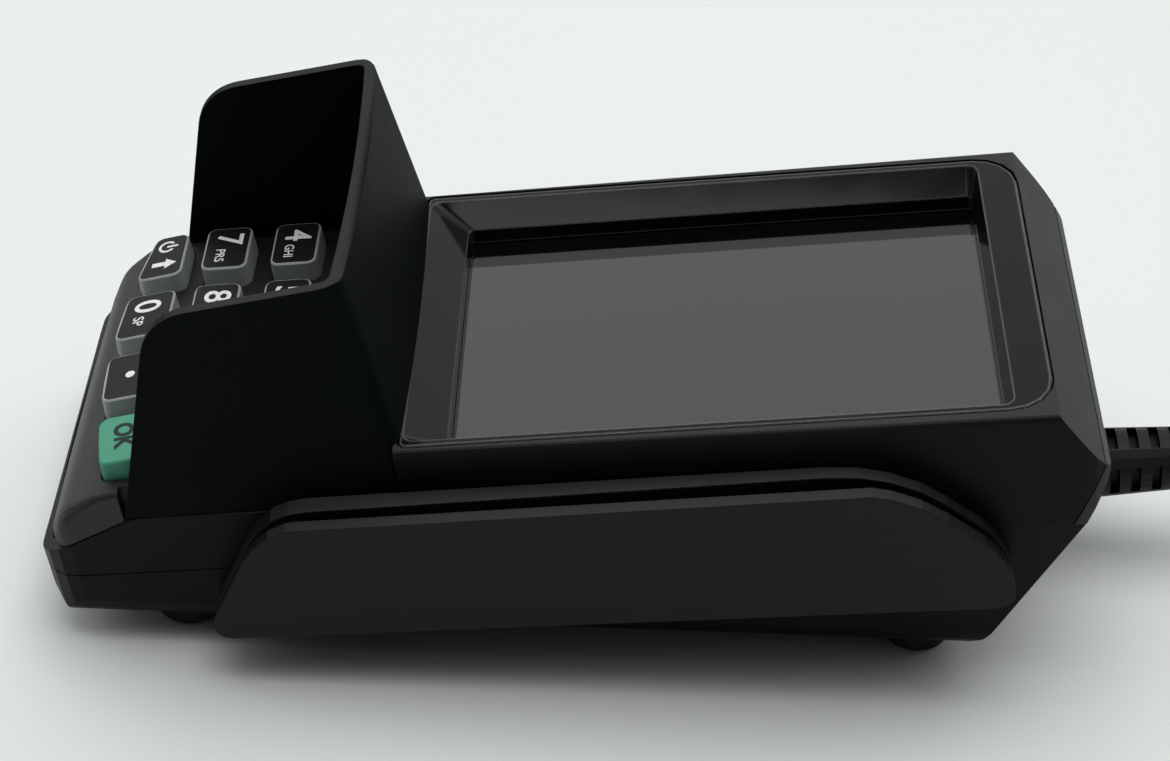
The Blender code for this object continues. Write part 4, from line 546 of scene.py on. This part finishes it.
HOUSING = moulded_plastic(
    "housing_plastic", (0.0012, 0.0014, 0.0014), roughness=0.42, specular=0.10, top=TOP_SHEEN_COLOR,
)
REAR_PLASTIC = moulded_plastic("rear_plastic", (0.0040, 0.0043, 0.0042), roughness=0.46, specular=0.34)
RAIL = moulded_plastic(
    "rail_plastic", (0.0060, 0.0068, 0.0066), roughness=0.50, specular=0.16, edge=RAIL_EDGE, top=TOP_SHEEN_COLOR,
)
# The deck's dark second colour is painted shade between the keys
DECK = deck_plastic("deck_plastic", (0.036, 0.036, 0.034), painted_shade_color=(0.0030, 0.0030, 0.0030))
SHIELD = moulded_plastic(
    "shield_plastic", (0.0016, 0.0030, 0.0034), roughness=0.60, specular=0.05,
    grain=SHIELD_GRAIN, relief=SHIELD_RELIEF, top=TOP_SHEEN_COLOR,
)
# The bezel's edge colour is a painted highlight
GLOSS = gloss_plastic(
    "bezel_gloss", (0.0045, 0.0045, 0.0050), dust_color=(0.05, 0.05, 0.05), edge_highlight_color=(0.26, 0.265, 0.26),
)
GLASS = screen_glass("screen_glass", (0.0016, 0.0016, 0.0017), (0.0026, 0.0026, 0.0027))
KEY_GREY = silicone("key_grey", (0.330, 0.350, 0.352))
KEY_GREEN = silicone("key_green", (0.052, 0.285, 0.180))
KEY_RED = silicone("key_red", (0.430, 0.035, 0.030))
KEY_AMBER = silicone("key_amber", (0.560, 0.330, 0.040))
KEY_BLACK = printed("key_black_print", (0.0055, 0.0058, 0.0058), roughness=0.50, specular=0.22)
LEGEND_WHITE = printed("legend_white", (0.78, 0.79, 0.78), roughness=0.45)
LEGEND_DARK = printed("legend_dark", (0.0035, 0.017, 0.013), roughness=0.50, specular=0.25)
MAT = silicone("mat_silicone", (0.45, 0.45, 0.44), roughness=0.60)
BLACK = moulded_plastic("inner_black_plastic", (0.016, 0.016, 0.017), roughness=0.48)
BOARD = circuit_board("board_green")
STEEL = brushed_metal("steel", (0.56, 0.56, 0.58), roughness=0.36)
RUBBER = rubber("foot_rubber", (0.012, 0.012, 0.013), roughness=0.72)
JACKET = rubber("cord_jacket", (0.0022, 0.0023, 0.0024), roughness=0.48)

NODE_FINISHES = {
    "upper_housing": HOUSING, "lower_housing": HOUSING, "rear_cover": REAR_PLASTIC, "bottom_cover": HOUSING,
    "swipe_rail": RAIL, "keypad_deck": DECK, "privacy_shield": SHIELD, "screen_bezel": GLOSS,
    "touch_glass": GLASS, "display_module": BLACK, "antenna_board": BOARD, "main_board": BOARD,
    "keypad_mat": MAT, "chip_reader": BLACK, "mag_head": STEEL, "mag_spring": STEEL,
    "backup_battery": STEEL, "cable_socket": BLACK, "speaker": BLACK, "cable_boot": JACKET,
    "plug_grip": BLACK, "plug_shell": STEEL, "cover_screw": STEEL,
    "key_ok": KEY_GREEN, "key_cancel": KEY_RED, "key_clear": KEY_AMBER,
}


def finish_of(name):
    if name in NODE_FINISHES:
        return NODE_FINISHES[name]
    if name.startswith("key_"):
        return KEY_GREY
    if name.startswith("foot_"):
        return RUBBER
    if name.startswith("housing_screw"):
        return STEEL
    return JACKET


for name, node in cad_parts.items():
    for slot in node.material_slots:
        slot.material = finish_of(name)
cord.data.materials.clear()
cord.data.materials.append(JACKET)

# Printed keys
KEY_WIDTH = 0.0137
KEY_DEPTH = 0.0095
FRONT_KEY_DEPTH = 0.0111
KEY_PITCH = 0.0182
ROW_PITCH = 0.0138
BACK_ROW = -0.0695
FRONT_KEY_REAR = -0.10535
KEY_TOP = -0.0013
FRONT_KEY_TOP = -0.0017
FRONT_KEY_SLOPE = math.tan(math.radians(9.0))
FRONT_ARC_RADIUS = 0.152
PRINT_MARGIN = 0.00062
PRINT_CORNER = 0.0014
PRINT_THICKNESS = 0.00005
PRINT_SINK = 0.00002
PRINT_CORNER_STEPS = 6
LEGEND_THICKNESS = 0.00005
KEY_ROWS = (
    ("key_1", "key_2", "key_3", "key_cancel"),
    ("key_4", "key_5", "key_6", "key_clear"),
    ("key_7", "key_8", "key_9", "key_menu"),
    ("key_power", "key_0", "key_point", "key_ok"),
)
SMALL_WORDS = {
    "key_1": "QZ", "key_2": "ABC", "key_3": "DEF", "key_4": "GHI", "key_5": "JKL", "key_6": "MNO",
    "key_7": "PRS", "key_8": "TUV", "key_9": "WXY", "key_0": "SP",
}
COLORED_KEYS = ("key_ok", "key_cancel", "key_clear")

# Legends: places are shares of the printed area, from the left and from the front
DIGIT_ACROSS = (0.15, 0.44)
ONE_ACROSS = (0.20, 0.36)
DIGIT_ALONG = (0.22, 0.86)
FRONT_DIGIT_ALONG = (0.22, 0.78)
WORD_LEFT = 0.54
WORD_LETTER = 0.105
WORD_ALONG = (0.25, 0.48)
WORD_WEIGHT = 0.008
SIGN_WEIGHT = 0.012
OK_ACROSS = (0.17, 0.76)
OK_ALONG = (0.34, 0.88)
OK_WEIGHT = 0.045
SIGNS = {
    "key_cancel": ("X", (0.36, 0.64), (0.22, 0.80)),
    "key_clear": ("<", (0.34, 0.66), (0.24, 0.78)),
    "key_menu": ("F", (0.38, 0.60), (0.20, 0.84)),
}
POINT_SPOT = (0.48, 0.49)
POINT_RADIUS = 0.00092
POINT_SIDES = 32
POWER_SPOT = (0.25, 0.48)
POWER_RADIUS = 0.00150
POWER_STROKE = 0.00055
POWER_START = math.radians(125)
POWER_TURN = math.radians(290)
POWER_STEM = 0.0023
POWER_STEM_LIFT = 0.00115
ARC_STEPS = 24
ARC_SLICE = 1 / 50
ARROW_ACROSS = 0.70
ARROW_ALONG = (0.17, 0.84)
ARROW_WIDTH = 0.0031
ARROW_HEAD_FROM = 0.55
ARROW_STEM_SHARE = 0.42
ARROW_TIP_SHARE = 0.04
DRAWN_THICKNESS = 0.01


class KeyTop:
    """The printed area of one key, in casing coordinates."""

    def __init__(self, name, row, column):
        self.name = name
        self.front_row = row == 3
        self.x = (column - 1.5) * KEY_PITCH
        self.left = self.x - KEY_WIDTH / 2 + PRINT_MARGIN
        self.right = self.x + KEY_WIDTH / 2 - PRINT_MARGIN
        middle = BACK_ROW - row * ROW_PITCH
        self.rear = (FRONT_KEY_REAR if self.front_row else middle + KEY_DEPTH / 2) - PRINT_MARGIN
        self.front = middle - KEY_DEPTH / 2 + PRINT_MARGIN

    def front_at(self, x):
        if not self.front_row:
            return self.front
        return FRONT_KEY_REAR - FRONT_KEY_DEPTH + x * x / (2 * FRONT_ARC_RADIUS) + PRINT_MARGIN

    def height(self, v):
        return FRONT_KEY_TOP - (FRONT_KEY_REAR - v) * FRONT_KEY_SLOPE if self.front_row else KEY_TOP

    def lifted(self, shape, base):
        """Moves a flat shape, drawn in x and v with its thickness in w, onto the key's top."""
        for vertex in shape.verts:
            vertex.co.z += self.height(vertex.co.y) + base

    def spot(self, across, along):
        """Shares of the printed area, from the left and from the front, as a place."""
        x = self.left + (self.right - self.left) * across
        front = self.front_at(self.x)
        return x, front + (self.rear - front) * along


def kept(name, shape, body, material):
    """Turns a shape drawn in casing coordinates into a piece that rides on a body."""
    bmesh.ops.transform(shape, matrix=CASING, verts=shape.verts)
    bmesh.ops.recalc_face_normals(shape, faces=shape.faces)
    mesh = bpy.data.meshes.new(name)
    shape.to_mesh(mesh)
    shape.free()
    mesh.materials.append(material)
    made = bpy.data.objects.new(name, mesh)
    scene.collection.objects.link(made)
    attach(made, body)
    return made


def reach(edge, axis):
    """How far an edge goes along an axis."""
    return abs(edge.verts[0].co[axis] - edge.verts[1].co[axis])


def print_key(top):
    """The black film on a key, with rounded corners."""
    shape = bmesh.new()
    bmesh.ops.create_cube(shape, size=1)
    for vertex in shape.verts:
        x = top.left if vertex.co.x < 0 else top.right
        v = top.front_at(x) if vertex.co.y < 0 else top.rear
        vertex.co = (x, v, PRINT_THICKNESS if vertex.co.z > 0 else 0)
    upright = [edge for edge in shape.edges if reach(edge, 2) > PRINT_THICKNESS / 2]
    bmesh.ops.bevel(
        shape, geom=upright, offset=PRINT_CORNER, offset_type="OFFSET", affect="EDGES",
        segments=PRINT_CORNER_STEPS, profile=0.5, material=-1,
    )
    top.lifted(shape, -PRINT_SINK)
    kept(f"{top.name}_print", shape, top.name, KEY_BLACK)


def lettering(text, left, right, low, high, weight):
    """A word as a shape that fills a rectangle of the plan."""
    font = bpy.data.curves.new("lettering", "FONT")
    font.body = text
    font.extrude = DRAWN_THICKNESS
    font.offset = weight
    word = bpy.data.objects.new("lettering", font)
    scene.collection.objects.link(word)
    bpy.context.view_layer.update()
    mesh = bpy.data.meshes.new_from_object(word.evaluated_get(bpy.context.evaluated_depsgraph_get()))
    bpy.data.objects.remove(word)
    shape = bmesh.new()
    shape.from_mesh(mesh)
    bpy.data.meshes.remove(mesh)
    lows = Vector([min(vertex.co[axis] for vertex in shape.verts) for axis in range(3)])
    highs = Vector([max(vertex.co[axis] for vertex in shape.verts) for axis in range(3)])
    size = Vector(((right - left) / (highs.x - lows.x), (high - low) / (highs.y - lows.y), 0))
    for vertex in shape.verts:
        raised = LEGEND_THICKNESS if vertex.co.z > 0 else 0
        vertex.co = (left + (vertex.co.x - lows.x) * size.x, low + (vertex.co.y - lows.y) * size.y, raised)
    return shape


def joined(shapes):
    """Several shapes as one."""
    whole = bmesh.new()
    for shape in shapes:
        mesh = bpy.data.meshes.new("joined")
        shape.to_mesh(mesh)
        shape.free()
        whole.from_mesh(mesh)
        bpy.data.meshes.remove(mesh)
    return whole


def bar(x, v, width, length):
    """A flat block round a place."""
    shape = bmesh.new()
    place = Matrix.Translation((x, v, LEGEND_THICKNESS / 2))
    size = Matrix.Diagonal((width, length, LEGEND_THICKNESS, 1))
    bmesh.ops.create_cube(shape, size=1, matrix=place @ size)
    return shape


def arc(x, v, radius, width, start, turn):
    """Part of a flat ring."""
    shape = bar(radius, 0, width, width * ARC_SLICE)
    end = [face for face in shape.faces if face.normal.y > 0.9]
    bmesh.ops.spin(
        shape, geom=end, axis=(0, 0, 1), cent=(0, 0, 0), angle=turn, steps=ARC_STEPS,
        use_merge=False, use_duplicate=False,
    )
    bmesh.ops.rotate(shape, matrix=Matrix.Rotation(start, 3, "Z"), verts=shape.verts)
    bmesh.ops.translate(shape, vec=(x, v, 0), verts=shape.verts)
    return shape


def pointer(x, low, high, width):
    """An arrow that points to the rear."""
    head_low = low + (high - low) * ARROW_HEAD_FROM
    head_middle = (head_low + high) / 2
    stem = bar(x, (low + head_low) / 2, width * ARROW_STEM_SHARE, head_low - low)
    head = bar(x, head_middle, width, high - head_low)
    for vertex in head.verts:
        if vertex.co.y > head_middle:
            vertex.co.x = x + (vertex.co.x - x) * ARROW_TIP_SHARE
    return joined([stem, head])


def round_dot(x, v, radius):
    """A flat disc."""
    shape = bmesh.new()
    place = Matrix.Translation((x, v, LEGEND_THICKNESS / 2))
    bmesh.ops.create_cone(
        shape, cap_ends=True, segments=POINT_SIDES, radius1=radius, radius2=radius,
        depth=LEGEND_THICKNESS, matrix=place,
    )
    return shape


def word_on(top, text, across, along, weight=SIGN_WEIGHT):
    """A word that fills a rectangle of a key's printed area."""
    left, low = top.spot(across[0], along[0])
    right, high = top.spot(across[1], along[1])
    return lettering(text, left, right, low, high, weight)


def power_sign(top):
    """The power sign with an arrow beside it."""
    x, v = top.spot(*POWER_SPOT)
    ring = arc(x, v, POWER_RADIUS, POWER_STROKE, POWER_START, POWER_TURN)
    stem = bar(x, v + POWER_STEM_LIFT, POWER_STROKE, POWER_STEM)
    arrow_x, low = top.spot(ARROW_ACROSS, ARROW_ALONG[0])
    high = top.spot(ARROW_ACROSS, ARROW_ALONG[1])[1]
    return joined([ring, stem, pointer(arrow_x, low, high, ARROW_WIDTH)])


def ok_word(top):
    """The word OK, slanted along the front row's arc."""
    word = word_on(top, "OK", OK_ACROSS, OK_ALONG, OK_WEIGHT)
    for vertex in word.verts:
        vertex.co.y += (vertex.co.x - top.x) * top.x / FRONT_ARC_RADIUS
    return word


def digit_legend(top):
    """A digit with its letters at the right."""
    digit = top.name[-1]
    across = ONE_ACROSS if digit == "1" else DIGIT_ACROSS
    big = word_on(top, digit, across, FRONT_DIGIT_ALONG if top.front_row else DIGIT_ALONG)
    letters = SMALL_WORDS[top.name]
    right = WORD_LEFT + WORD_LETTER * len(letters)
    small = word_on(top, letters, (WORD_LEFT, right), WORD_ALONG, WORD_WEIGHT)
    return joined([big, small])


def key_legend(top):
    if top.name == "key_power":
        return power_sign(top)
    if top.name == "key_point":
        return round_dot(*top.spot(*POINT_SPOT), POINT_RADIUS)
    if top.name == "key_ok":
        return ok_word(top)
    if top.name in SIGNS:
        return word_on(top, *SIGNS[top.name])
    return digit_legend(top)


for row, names in enumerate(KEY_ROWS):
    for column, key_name in enumerate(names):
        top = KeyTop(key_name, row, column)
        colored = key_name in COLORED_KEYS
        if not colored:
            print_key(top)
        legend = key_legend(top)
        top.lifted(legend, -PRINT_SINK if colored else PRINT_THICKNESS - 2 * PRINT_SINK)
        kept(f"{key_name}_legend", legend, key_name, LEGEND_DARK if colored else LEGEND_WHITE)


# Tie round the coil
TIE_WIDTH = 0.012
TIE_THICKNESS = 0.0009
TIE_WALL = TIE_THICKNESS * 0.9
TIE_CORNER = 0.0028
TIE_CORNER_STEPS = 5
TIE_INNER = COIL_OUTER - CORD_STEP * 1.75 - 0.0032
TIE_OUTER = COIL_OUTER - CORD_STEP * 0.25 + 0.0033
TIE_LOW = 0.0002
TIE_HIGH = CORD_STEP * (COIL_LAYERS - 1) + CORD_DIAMETER


def make_tie():
    """A hook-and-loop band round all turns of the coil."""
    shape = bmesh.new()
    size = (TIE_WIDTH, TIE_OUTER - TIE_INNER + 2 * TIE_THICKNESS, TIE_HIGH - TIE_LOW + TIE_THICKNESS)
    middle = (
        COIL_CENTRE.x, COIL_CENTRE.y + (TIE_INNER + TIE_OUTER) / 2, (TIE_LOW + TIE_HIGH + TIE_THICKNESS) / 2,
    )
    bmesh.ops.create_cube(shape, size=1, matrix=Matrix.Translation(middle) @ Matrix.Diagonal((*size, 1)))
    ends = [face for face in shape.faces if abs(face.normal.x) > 0.9]
    bmesh.ops.delete(shape, geom=ends, context="FACES_ONLY")
    corners = [edge for edge in shape.edges if reach(edge, 0) > TIE_WIDTH / 2]
    bmesh.ops.bevel(
        shape, geom=corners, offset=TIE_CORNER, offset_type="OFFSET", affect="EDGES",
        segments=TIE_CORNER_STEPS, profile=0.5, material=-1,
    )
    bmesh.ops.recalc_face_normals(shape, faces=shape.faces)
    bmesh.ops.solidify(shape, geom=shape.faces[:], thickness=TIE_WALL)
    mesh = bpy.data.meshes.new("coil_tie")
    shape.to_mesh(mesh)
    shape.free()
    mesh.materials.append(RUBBER)
    made = bpy.data.objects.new("coil_tie", mesh)
    scene.collection.objects.link(made)
    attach(made, "terminal")
    return made


tie = make_tie()


# Studio
FLOOR_REACH = 6
FLOOR_COLOR = (0.775, 0.795, 0.785)
WORLD_COLOR = (0.97, 1.0, 0.98, 1)
# The world's light grows from the dim to the bright level as a direction turns to the bright side
BRIGHT_SIDE = (-0.70, 0.0, 0.60)
BRIGHTENS_FROM, BRIGHTENS_TO = -0.05, 0.55
DIM_LEVEL, BRIGHT_LEVEL = 0.03, 1.0
BACKGROUND_LEVEL = 0.82


def make_floor():
    """A wide pale floor."""
    shape = bmesh.new()
    bmesh.ops.create_grid(shape, x_segments=1, y_segments=1, size=FLOOR_REACH)
    mesh = bpy.data.meshes.new("studio_floor")
    shape.to_mesh(mesh)
    shape.free()
    made = Finish("studio_floor")
    made.shade({"Base Color": FLOOR_COLOR, "Roughness": 0.85, "Specular IOR Level": 0.1})
    mesh.materials.append(made.material)
    floor = bpy.data.objects.new("studio_floor", mesh)
    scene.collection.objects.link(floor)


def soft_lamp(name, place, aim, width, length, power, diffuse=True):
    """A rectangular lamp turned to a place."""
    lamp = bpy.data.lights.new(name, "AREA")
    lamp.shape = "RECTANGLE"
    lamp.size = width
    lamp.size_y = length
    lamp.energy = power
    made = bpy.data.objects.new(name, lamp)
    made.location = place
    made.rotation_euler = (Vector(aim) - Vector(place)).to_track_quat("-Z", "Y").to_euler()
    made.visible_diffuse = diffuse
    scene.collection.objects.link(made)


def make_world():
    """Light like that of a white room: bright above and behind the terminal, dim on the viewer's side."""
    world = bpy.data.worlds.new("studio_world")
    world.use_nodes = True
    nodes, links = world.node_tree.nodes, world.node_tree.links
    direction = nodes.new("ShaderNodeTexCoord").outputs["Generated"]
    slope = nodes.new("ShaderNodeVectorMath")
    slope.operation = "DOT_PRODUCT"
    slope.inputs[1].default_value = BRIGHT_SIDE
    links.new(direction, slope.inputs[0])
    level = nodes.new("ShaderNodeMapRange")
    level.interpolation_type = "SMOOTHSTEP"
    level.inputs["From Min"].default_value = BRIGHTENS_FROM
    level.inputs["From Max"].default_value = BRIGHTENS_TO
    level.inputs["To Min"].default_value = DIM_LEVEL
    level.inputs["To Max"].default_value = BRIGHT_LEVEL
    links.new(slope.outputs["Value"], level.inputs["Value"])
    seen = nodes.new("ShaderNodeLightPath").outputs["Is Camera Ray"]
    strength = nodes.new("ShaderNodeMix")
    links.new(seen, strength.inputs["Factor"])
    links.new(level.outputs["Result"], strength.inputs["A"])
    strength.inputs["B"].default_value = BACKGROUND_LEVEL
    background = nodes["Background"]
    background.inputs["Color"].default_value = WORLD_COLOR
    links.new(strength.outputs["Result"], background.inputs["Strength"])
    scene.world = world


make_floor()
make_world()
soft_lamp("overhead_lamp", place=(-0.12, 0.05, 1.30), aim=(0, 0, 0), width=1.00, length=1.00, power=8.5)
soft_lamp(
    "window_lamp", place=(1.10, -0.05, 0.62), aim=(0, 0, 0.05), width=0.55, length=0.28, power=1.7,
    diffuse=False,
)
scene.view_settings.view_transform = "Standard"
